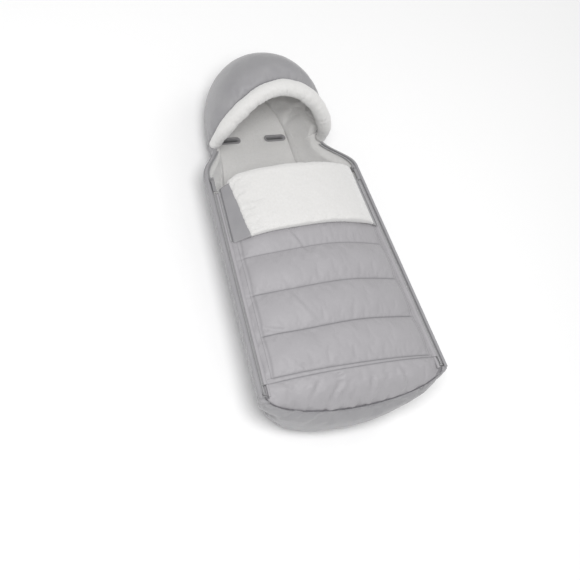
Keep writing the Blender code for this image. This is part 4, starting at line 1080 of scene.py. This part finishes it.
def zip_half_pieces(kind, side, ys, near, level, body, ends=None):
    """Tape, teeth and the cord inside the coil for one half of a zip; near holds their offsets from the
    line."""
    name = SIDES[side]
    tape_in, tape_out, coil_in, coil_out = near

    def line(offset, drop=0.0):
        return np.stack((side * (zip_half(ys) + offset), ys, level(ys) - drop), axis=1)

    edges = line(tape_in, 0.0015), line(tape_out, 0.0010)
    tape = ribbon(f"{kind}_tape_strip_{name}", *edges, TAPE_THICK, TAPE)
    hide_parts(f"{kind}_zip_tape_{name}")
    centre_line = line((coil_in + coil_out) / 2)
    edges = line(coil_in + 0.0006), line(coil_out - 0.0006)
    cord = ribbon(f"{kind}_coil_cord_{name}", *edges, CORD_THICK, COIL)
    for piece in (tape, cord):
        moves(piece, body, ends)
    path = (centre_line, np.zeros_like(centre_line) + UP)
    teeth = row(f"{kind}_coil_teeth_{name}", [path], body, COIL, TOOTH_UNIT, TOOTH_SPACING, ends)
    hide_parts(f"{kind}_zip_coil_{name}")


def beside_zip(side, ys, offset):
    """A line along the zip; its two sides close up over the stop."""
    offset = offset if abs(offset) > 0.005 else offset * smooth((ys + 0.016) / 0.012)
    return np.stack((side * (zip_half(ys) + offset), ys, zip_rise(ys)), axis=1)


def edge_roll(kind, side, ys, reach, high, lip, cloth, seed, body="tub", ends=None):
    """Cloth turned over a thin roll of fill, from one offset beside the zip to another; lip lifts its near
    side."""
    near, far = (beside_zip(side, ys, offset)[:, None] for offset in reach)
    turn = np.linspace(0, 2 * math.pi, ROLL_TURNS, endpoint=False)[None, :, None]
    up = np.where(turn < math.pi, np.abs(np.sin(turn)) ** 0.8, 0.15 * np.sin(turn)) * high
    up = up + lerp(-0.0004, lip, (1 + np.cos(turn)) / 2)
    rings = lerp(far, near, (1 + np.cos(turn)) / 2) + up * UP
    middle = rings.mean(axis=1, keepdims=True)
    spots = np.broadcast_to(middle, rings.shape)
    ruck = lumps(spots, 0.011, seed) + lumps(spots, 0.005, seed)
    rings = middle + (rings - middle) * (1 + 0.10 * ruck[..., None] * np.clip(np.sin(turn), 0, 1))
    finish, slot = cloth
    roll = tube(f"{kind}_edge_roll_{SIDES[side]}", rings, finish)
    moves(roll, body, ends)


def bent_ys(low, high, steps, bend_steps):
    """Places along a line that bends above STRAIGHT_END, closer together there."""
    return np.concatenate((np.linspace(low, STRAIGHT_END, steps)[:-1],
                           np.linspace(STRAIGHT_END, high, bend_steps)))


tub_ys = bent_ys(ZIP_LOW_END, 0.622, 60, 24)
roll_ys = bent_ys(ROLL_LOW_END, 0.652, 240, 60)
end_ys = np.linspace(ROLL_LOW_END, -0.0004, 16)
for side, name in SIDES.items():
    edge_roll("wall", side, roll_ys, reach=(0.0064, 0.0150), high=0.0042, lip=0.0010,
              cloth=(SIDE_CLOTH, "side_cloth"), seed=25)
    edge_roll("toe", side, end_ys, reach=(-0.0066, -0.0130), high=0.0042, lip=0.0016,
              cloth=(COVER_CLOTH, "shell_cloth"), seed=26)
    near, far = (np.stack((side * (zip_half(end_ys) + offset), end_ys, zip_rise(end_ys) - 0.0042), 1)
                 for offset in (-0.0090, 0.0090))
    zip_end = ribbon(f"zip_end_tape_{name}", near, far, height=0.0010, finish=TAPE)
    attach(zip_end, "tub")
for side in SIDES:
    zip_half_pieces("tub", side, tub_ys, (TAPE_NEAR, TAPE_FAR + 0.0024, COIL_NEAR, COIL_NEAR + COIL_WIDTH),
                    zip_rise, "tub")

# ---- Cover ----------------------------------------------------------------------------------------------
# The quilted front: satin-faced polyester over fill, stitched through in lines across, over a plush lining.
# The fill puffs the channels up, and the tight thread puckers the cloth along each line.

COVER_END = 0.4881
HINGE_GAP = 0.0003
THREAD_RISE = 0.0002
# Depth under the seams' level, at an edge and in the middle.
COVER_DEPTHS = (0.0029, 0.0054)
LINING_FACE = (0.0033, 0.0058)
LINING_BACK = (0.0048, 0.0116)
CHANNEL_SEAMS = (0.1092, 0.2106, 0.3064, 0.412)
CHANNEL_ROWS = (3, 20, 19, 18, 19, 10)
CHANNEL_PUFF = (0.0012, 0.0100, 0.0100, 0.0098, 0.0062, 0.0035)
# How much painted shade darkens the cloth along the hinge's second row and along each quilting seam.
SEAM_PAINTED_SHADE = (0.8, 1.0, 0.75, 0.45, 0.4)
SEAM_PUCKER = (0.0004, 0.0004, 0.0008, 0.0003, 0.0003)
COVER_FOLDS = ((((-0.104, 0.212), (-0.093, 0.185), (-0.080, 0.155), (-0.056, 0.116)), 0.006, 0.0022),
               (((-0.058, 0.345), (-0.043, 0.320), (-0.034, 0.292)), 0.0045, 0.0026),
               (((-0.190, 0.132), (-0.165, 0.118), (-0.150, 0.111)), 0.005, 0.0020),
               (((-0.178, 0.124), (-0.150, 0.116), (-0.128, 0.111)), 0.004, 0.0018),
               (((-0.002, 0.028), (0.017, 0.010)), 0.0045, 0.0018),
               (((0.044, 0.028), (0.060, 0.009)), 0.0045, 0.0018),
               (((0.120, 0.026), (0.124, 0.008)), 0.0040, 0.0016),
               (((-0.138, 0.032), (-0.118, 0.012)), 0.0045, 0.0020),
               (((0.020, 0.330), (0.030, 0.312)), 0.0040, 0.0014),
               (((0.101, 0.330), (0.100, 0.309)), 0.0022, 0.0014))
COVER_BEND = ((0.0, HINGE_GAP - CENTRE, 0.19), (0.0, 0.040 - CENTRE, 0.19))

shares = np.linspace(-1, 1, COVER_STEPS + 1)
shares = lerp(shares, np.sin(shares * math.pi / 2), 0.35)


def seam_lines(share):
    """Places along the cover of the hinge seam, its second row of stitches, the quilting seams and the
    end."""
    band = lerp(0.0115, 0.0055, (share + 1) / 2)
    sag = 0.0016 * np.sin(share * 5.0 + 0.7)
    return ([np.full_like(share, HINGE_GAP), band] + [np.full_like(share, y) + sag for y in CHANNEL_SEAMS]
            + [np.full_like(share, COVER_END)])


lines = seam_lines(shares)
ys, puffs = [], []
for k, steps in enumerate(CHANNEL_ROWS):
    for share in np.linspace(0, 1, steps + 1)[:-1]:
        ys.append(lerp(lines[k], lines[k + 1], share))
        puffs.append(np.full_like(shares, CHANNEL_PUFF[k] * np.sin(math.pi * share) ** 0.7))
ys, puffs = np.stack(ys + [lines[-1]], axis=1), np.stack(puffs + [0 * shares], axis=1)
SEAM_ROWS = list(np.cumsum(CHANNEL_ROWS)[:-1])
xs = shares[:, None] * cover_half(ys)
cover_face = np.stack((xs, ys, seam_level(xs, ys) + puffs * edge_share(xs, ys)), axis=-1)
sewn_through = np.isin(np.arange(ys.shape[1]), SEAM_ROWS)
cover_face = swell(cover_face, edges_held(cover_face) | sewn_through, grow=0.010, cap=0.005, seed=71)
cover_face = closer(closer(cover_face, 2, 1, SEAM_ROWS), 2, 0)
SEAM_ROWS = [2 * r for r in SEAM_ROWS]
# Painted shade: the cloth is darkened at the hinge seam, along each seam row and in the groove near each side
# edge, where shade falls in the hollows.
sewn = np.exp(-cover_face[..., 1] / 0.0012)
for k, (seam_row, dark, strength) in enumerate(zip(SEAM_ROWS, SEAM_PAINTED_SHADE, SEAM_PUCKER)):
    off = cover_face[..., 1] - cover_face[:, seam_row, 1][:, None]
    pull = strength * (1 + smooth((-cover_face[..., 0] - 0.03) / 0.12)) * smooth(cover_face[..., 1] / 0.008)
    pull = pull * edge_share(cover_face[..., 0], cover_face[..., 1]) ** 0.5
    pull = pull * (0.3 + 1.4 * smooth(lumps(cover_face * (1, 0, 0) + (0, k, 0), 0.07, 121 + k) + 0.3))
    along = cover_face[..., 0] + 0.2 * np.sign(off) + k
    cover_face = gathered(cover_face, along, np.abs(off), strength=pull, seed=81 + k)
    inset = from_edge(cover_face[..., 0], cover_face[..., 1])
    # Painted shade along this seam.
    sewn = np.maximum(sewn, dark * bell(off, 0.0020) * smooth((inset - 0.012) / 0.008))
for points, wide, deep in COVER_FOLDS:
    cover_face = crease(cover_face, points, wide, deep)
inset = from_edge(cover_face[..., 0], cover_face[..., 1])
groove = bell(inset - 0.018, 0.0022) * smooth(cover_face[..., 1] / 0.02)
cover_face = cover_face - facing(cover_face) * (0.0014 * groove)[..., None]
# Painted shade in the groove as well.
sewn = np.maximum(sewn, 0.35 * groove)


def under_level(x, y, edge, middle):
    return seam_level(x, y) - lerp(edge, middle, edge_share(x, y))


low_x, low_y = closer(closer(xs, 2, 1, [r // 2 for r in SEAM_ROWS]), 2, 0), finer(ys, 2, 2)
low_x = np.clip(low_x, -cover_half(low_y), cover_half(low_y))
cover_low, lining_top, lining_low = (np.stack((low_x, low_y, under_level(low_x, low_y, *depths)), axis=-1)
                                     for depths in (COVER_DEPTHS, LINING_FACE, LINING_BACK))
cover_quilt = skin("cover_quilt", cover_face, cover_low, COVER_CLOTH, rounding=0.8, seam=sewn)
soft(cover_quilt, ["cover_shell"] + [f"cover_pad_{k}" for k in range(1, 6)],
     body=("tub", "cover"), ends=COVER_BEND)

nap = fleece(lining_low, facing(lining_low, -1), height=0.0010, seed=72)
lining_low = lerp(lining_low, nap, edge_share(low_x, low_y)[..., None])
cover_plush = skin("cover_plush", lining_top, lining_low, PLUSH, rim=2, rounding=0.6)
soft(cover_plush, ("cover_lining",), body=("tub", "cover"), ends=COVER_BEND)

normal = facing(cover_face)
seam_paths = [(cover_face[12:-12, r] + UP * THREAD_RISE, normal[12:-12, r]) for r in SEAM_ROWS[1:]]
hinge_path = (cover_face[4:-4, SEAM_ROWS[0]] + UP * THREAD_RISE, normal[4:-4, SEAM_ROWS[0]])
edge_paths = [(cover_face[k, 6:] + normal[k, 6:] * THREAD_RISE, normal[k, 6:]) for k in (8, -9)]
row("cover_seam_stitches", seam_paths, "cover", THREAD_GREY)
row("hinge_seam_stitches", [hinge_path], ("tub", "cover"), THREAD_GREY, ends=COVER_BEND)
row("cover_edge_stitches", edge_paths, ("tub", "cover"), THREAD_GREY, ends=COVER_BEND)

for side in SIDES:
    edge_roll("cover", side, np.linspace(HINGE_GAP, COVER_END, 220), reach=(-0.0014, -0.0125), high=0.0044,
              lip=0.0016, cloth=(COVER_CLOTH, "shell_cloth"), seed=73, body=("tub", "cover"), ends=COVER_BEND)
for side in SIDES:
    zip_half_pieces("cover", side, np.linspace(HINGE_GAP, COVER_END, 60),
                    (-TAPE_FAR, -TAPE_NEAR, -COIL_NEAR - COIL_WIDTH, -COIL_NEAR), zip_rise, ("tub", "cover"),
                    COVER_BEND)

# ---- Flap -----------------------------------------------------------------------------------------------
# The top of the cover, turned down so that its plush shows: plush over fill over cover cloth, with a border
# of side cloth along each edge where the zip runs on. It is sewn to nothing and only lies folded.

FLAP_START = 0.357
BORDER = 0.032
PLUSH_INSET = 0.017
FLAP_INSET = 0.0135
FOLD_CLEAR = 0.006
# Height over the cover's seams and thickness of the layers, at an edge and in the middle.
FLAP_CLEAR = (0.0016, 0.0092)
FLAP_FILL = (0.0015, 0.011)
FLAP_PILE = (0.0015, 0.0056)
FLAP_ROWS = 34
NOSE_ROWS = 16


def flap_low(x, y):
    return seam_level(x, y) + lerp(*FLAP_CLEAR, edge_share(x, y))


def flap_face(x, y):
    share = edge_share(x, y)
    return flap_low(x, y) + lerp(*SHELL_THICK, share) + 0.0008 + lerp(*FLAP_FILL, share)


def fold_core(x, y):
    """Height and radius of the fold, between the plush on top and the plush inside."""
    low = under_level(x, y, *LINING_FACE)
    return (flap_face(x, y) + low) / 2, (flap_face(x, y) - low) / 2


FOLD_Y = COVER_LENGTH - FOLD_CLEAR - fold_core(0.0, COVER_LENGTH)[1]
FLAP_BEND = ((0.0, FOLD_Y + 0.002 - CENTRE, 0.15), (0.0, FOLD_Y - 0.060 - CENTRE, 0.15))


def flap_half(y):
    return zip_half(y) - FLAP_INSET


def border_half(y, side):
    """The plush reaches nearer to the right edge, and on the left nearer towards the fold."""
    free = np.clip((FOLD_Y - y) / (FOLD_Y - FLAP_START), 0, 1)
    return flap_half(y) - (lerp(PLUSH_INSET, BORDER, free) if side < 0 else PLUSH_INSET)


def free_edge(share):
    """The free edge hangs a little lower at its left end, and waves."""
    return FLAP_START - 0.005 * smooth((-share - 0.1) / 0.9) + 0.0012 * np.sin(share * 7.0)


def flap_places(shares_across, rows):
    """Places along the flap, from its free edge to the fold."""
    rows = np.linspace(0, 1, rows)
    return free_edge(shares_across)[:, None] * (1 - rows) + FOLD_Y * rows


def folded(shares_at, depth, nose_extra=0.0):
    """A grid over the flap and round its fold, depth above the face of its fill."""
    y = flap_places(shares_at(0.5) / 0.2, FLAP_ROWS + 1)
    x = np.stack([shares_at(v) for v in y.mean(axis=0)], axis=1)
    flat = np.stack((x, y, flap_face(x, y) + depth(x, y)), axis=-1)
    edge_x = shares_at(FOLD_Y)
    height, radius = fold_core(edge_x, FOLD_Y)
    turns = math.pi / 2 - math.pi * np.arange(1, NOSE_ROWS + 1) / NOSE_ROWS
    reach = (radius + depth(edge_x, FOLD_Y))[:, None] + nose_extra * np.cos(turns)[None, :]
    nose = np.stack((edge_x[:, None] + 0 * reach, FOLD_Y + reach * np.cos(turns),
                     height[:, None] + reach * np.sin(turns)), axis=-1)
    return np.concatenate((flat, nose), axis=1)


def plush_columns(y):
    return np.where(shares < 0, shares * (border_half(y, -1) - LAYER_GAP),
                    shares * (border_half(y, 1) - LAYER_GAP))


def border_columns(side):
    return lambda y: np.sort(side * np.linspace(border_half(y, side), flap_half(y), 15))


def fill_low(x, y):
    return -LAYER_GAP - lerp(*FLAP_FILL, edge_share(x, y))


def pile_high(x, y):
    return lerp(*FLAP_PILE, edge_share(x, y)) + 0.0 * x


plush_face = folded(plush_columns, pile_high, 0.003)
plush_face = swell(plush_face, edges_held(plush_face), grow=0.022, cap=0.004, seed=111)
plush_low = folded(plush_columns, fill_low)
plush_face, plush_low = (finer(g, 2, 3) for g in (plush_face, plush_low))
count = np.arange(len(plush_face))
from_side = np.minimum(count, count[::-1])[:, None] * 0.0022
inner = smooth(from_side / 0.012)[..., None]
nap = fleece(plush_face, facing(plush_face), height=0.0007, seed=112)
plush_face = lerp(plush_face, nap, inner)
flap_plush = skin("flap_plush_pad", plush_face, plush_low, PLUSH, rim=5, rounding=0.35)
soft(flap_plush, ("flap_plush", "flap_batting"), body=("cover", "flap"), ends=FLAP_BEND)

for side, name in SIDES.items():
    border_top = folded(border_columns(side), lambda x, y: 0.0012 + 0 * x)
    border_low = folded(border_columns(side), fill_low)
    border_top, border_low = (finer(g, 2, 2) for g in (border_top, border_low))
    border_top = border_top + facing(border_top) * (0.0006 * lumps(border_top, 0.016, 113))[..., None]
    border = skin(f"flap_border_cloth_{name}", border_top, border_low, SIDE_CLOTH, rounding=0.6)
    soft(border, (f"flap_border_{name}",), body=("cover", "flap"), ends=FLAP_BEND)

flap_shares = np.linspace(-1, 1, 71)
shell_y = flap_places(flap_shares, 31)
shell_x = flap_shares[:, None] * flap_half(shell_y)
shell_low = np.stack((shell_x, shell_y, flap_low(shell_x, shell_y)), axis=-1)
shell_top = shell_low + UP * lerp(*SHELL_THICK, edge_share(shell_x, shell_y))[..., None]
shell_low, shell_top = (finer(g, 2, 2) for g in (shell_low, shell_top))
flap_shell = skin("flap_shell_cloth", shell_top, shell_low, COVER_CLOTH, rim=2, rounding=0.8)
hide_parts("flap_shell")
moves(flap_shell, ("cover", "flap"), FLAP_BEND)


def flap_zip_level(y):
    return flap_low(flap_half(y), y) + 0.0013


for side in SIDES:
    zip_half_pieces("flap", side, np.linspace(FLAP_START, FOLD_Y, 30), (-0.0132, -0.0092, -0.0089, -0.0065),
                    flap_zip_level, ("cover", "flap"), FLAP_BEND)

# ---- Sliders, pulls and stops ---------------------------------------------------------------------------
# Die-cast zinc sliders with hinged pulls, and pressed stops, all stoved with a grey lacquer that matches the
# cloth: a smooth, half glossy coat over the slight roll of the casting.


def stoved_lacquer(name):
    """Grey stoving lacquer on zinc: half glossy, with the casting's slight roll showing in the highlights."""
    mat, tree, shader = blank(name, Base_Color=linear("#89888A"), Roughness=0.35, Coat_Weight=0.3)
    spot = node(tree, "ShaderNodeTexCoord")
    marks = node(tree, "ShaderNodeTexNoise", {"Scale": 900.0, "Detail": 4.0}, Vector=spot.outputs["Object"])
    gloss = node(tree, "ShaderNodeMapRange", {"To Min": 0.22, "To Max": 0.40}, Value=marks.outputs["Fac"])
    tree.links.new(gloss.outputs["Result"], shader.inputs["Roughness"])
    bump = node(tree, "ShaderNodeBump", {"Strength": 0.12, "Distance": 0.0002}, Height=marks.outputs["Fac"])
    tree.links.new(bump.outputs["Normal"], shader.inputs["Normal"])
    return mat


LACQUER = stoved_lacquer("stoved_lacquer_grey")
for kept in ("slider_left", "slider_right", "pull_left", "pull_right", "zip_stop_left", "zip_stop_right"):
    for holder in frame["nodes"][kept].material_slots:
        holder.link = "OBJECT"
        holder.material = LACQUER

for unit in (STITCH_UNIT, TOOTH_UNIT):
    bpy.data.objects.remove(unit)

# ---- Floor, light and camera ----------------------------------------------------------------------------
# A plain pale floor, soft daylight from all round with one large lamp, and the photograph's viewpoint.

FOCAL_LENGTH, PICTURE_WIDTH = 1150, 580
FLOOR_REACH = 6.0
FLOOR_LEVEL = -0.0004

corners = [(x * FLOOR_REACH, y * FLOOR_REACH, FLOOR_LEVEL) for x, y in ((-1, -1), (1, -1), (1, 1), (-1, 1))]
floor_mesh = bpy.data.meshes.new("floor")
floor_mesh.from_pydata(corners, [], [(0, 1, 2, 3)])
floor_mesh.materials.append(blank("matt_white_paper", Base_Color=linear("#FFFFFF"), Roughness=0.9)[0])
placed("floor", floor_mesh)

world = bpy.data.worlds.new("soft_daylight")
world.use_nodes = True
world.node_tree.nodes["Background"].inputs["Color"].default_value = linear("#FFFFFF")
world.node_tree.nodes["Background"].inputs["Strength"].default_value = 0.53
bpy.context.scene.world = world
bpy.context.scene.view_settings.view_transform = "Standard"


def lamp(name, place, size, power):
    """A round lamp aimed at the middle of the footmuff."""
    light = bpy.data.lights.new(name, "AREA")
    light.shape, light.size, light.energy = "DISK", size, power
    turned = (Vector((0, 0, 0.1)) - Vector(place)).to_track_quat("-Z", "Y").to_matrix().to_4x4()
    placed(name, light).matrix_world = Matrix.Translation(place) @ turned


lamp("key", (-0.9, -0.8, 2.7), size=1.1, power=50.0)
lamp("fill", (1.8, 0.9, 2.2), size=1.6, power=8.0)

camera = placed("camera", bpy.data.cameras.new("camera"))
camera.data.sensor_width, camera.data.lens = 36.0, 36.0 * FOCAL_LENGTH / PICTURE_WIDTH
camera.data.clip_end = 20.0
right = Vector((0.90006203, -0.26872893, 0.34303515))
down = Vector((-0.11622160, -0.90673172, -0.40537651))
ahead = Vector((0.41997725, 0.32499591, -0.84734690))
turned = Matrix((right, -down, -ahead)).transposed().to_4x4()
camera.matrix_world = Matrix.Translation((-1.194099, -1.022073, 2.396583)) @ turned
bpy.context.scene.camera = camera
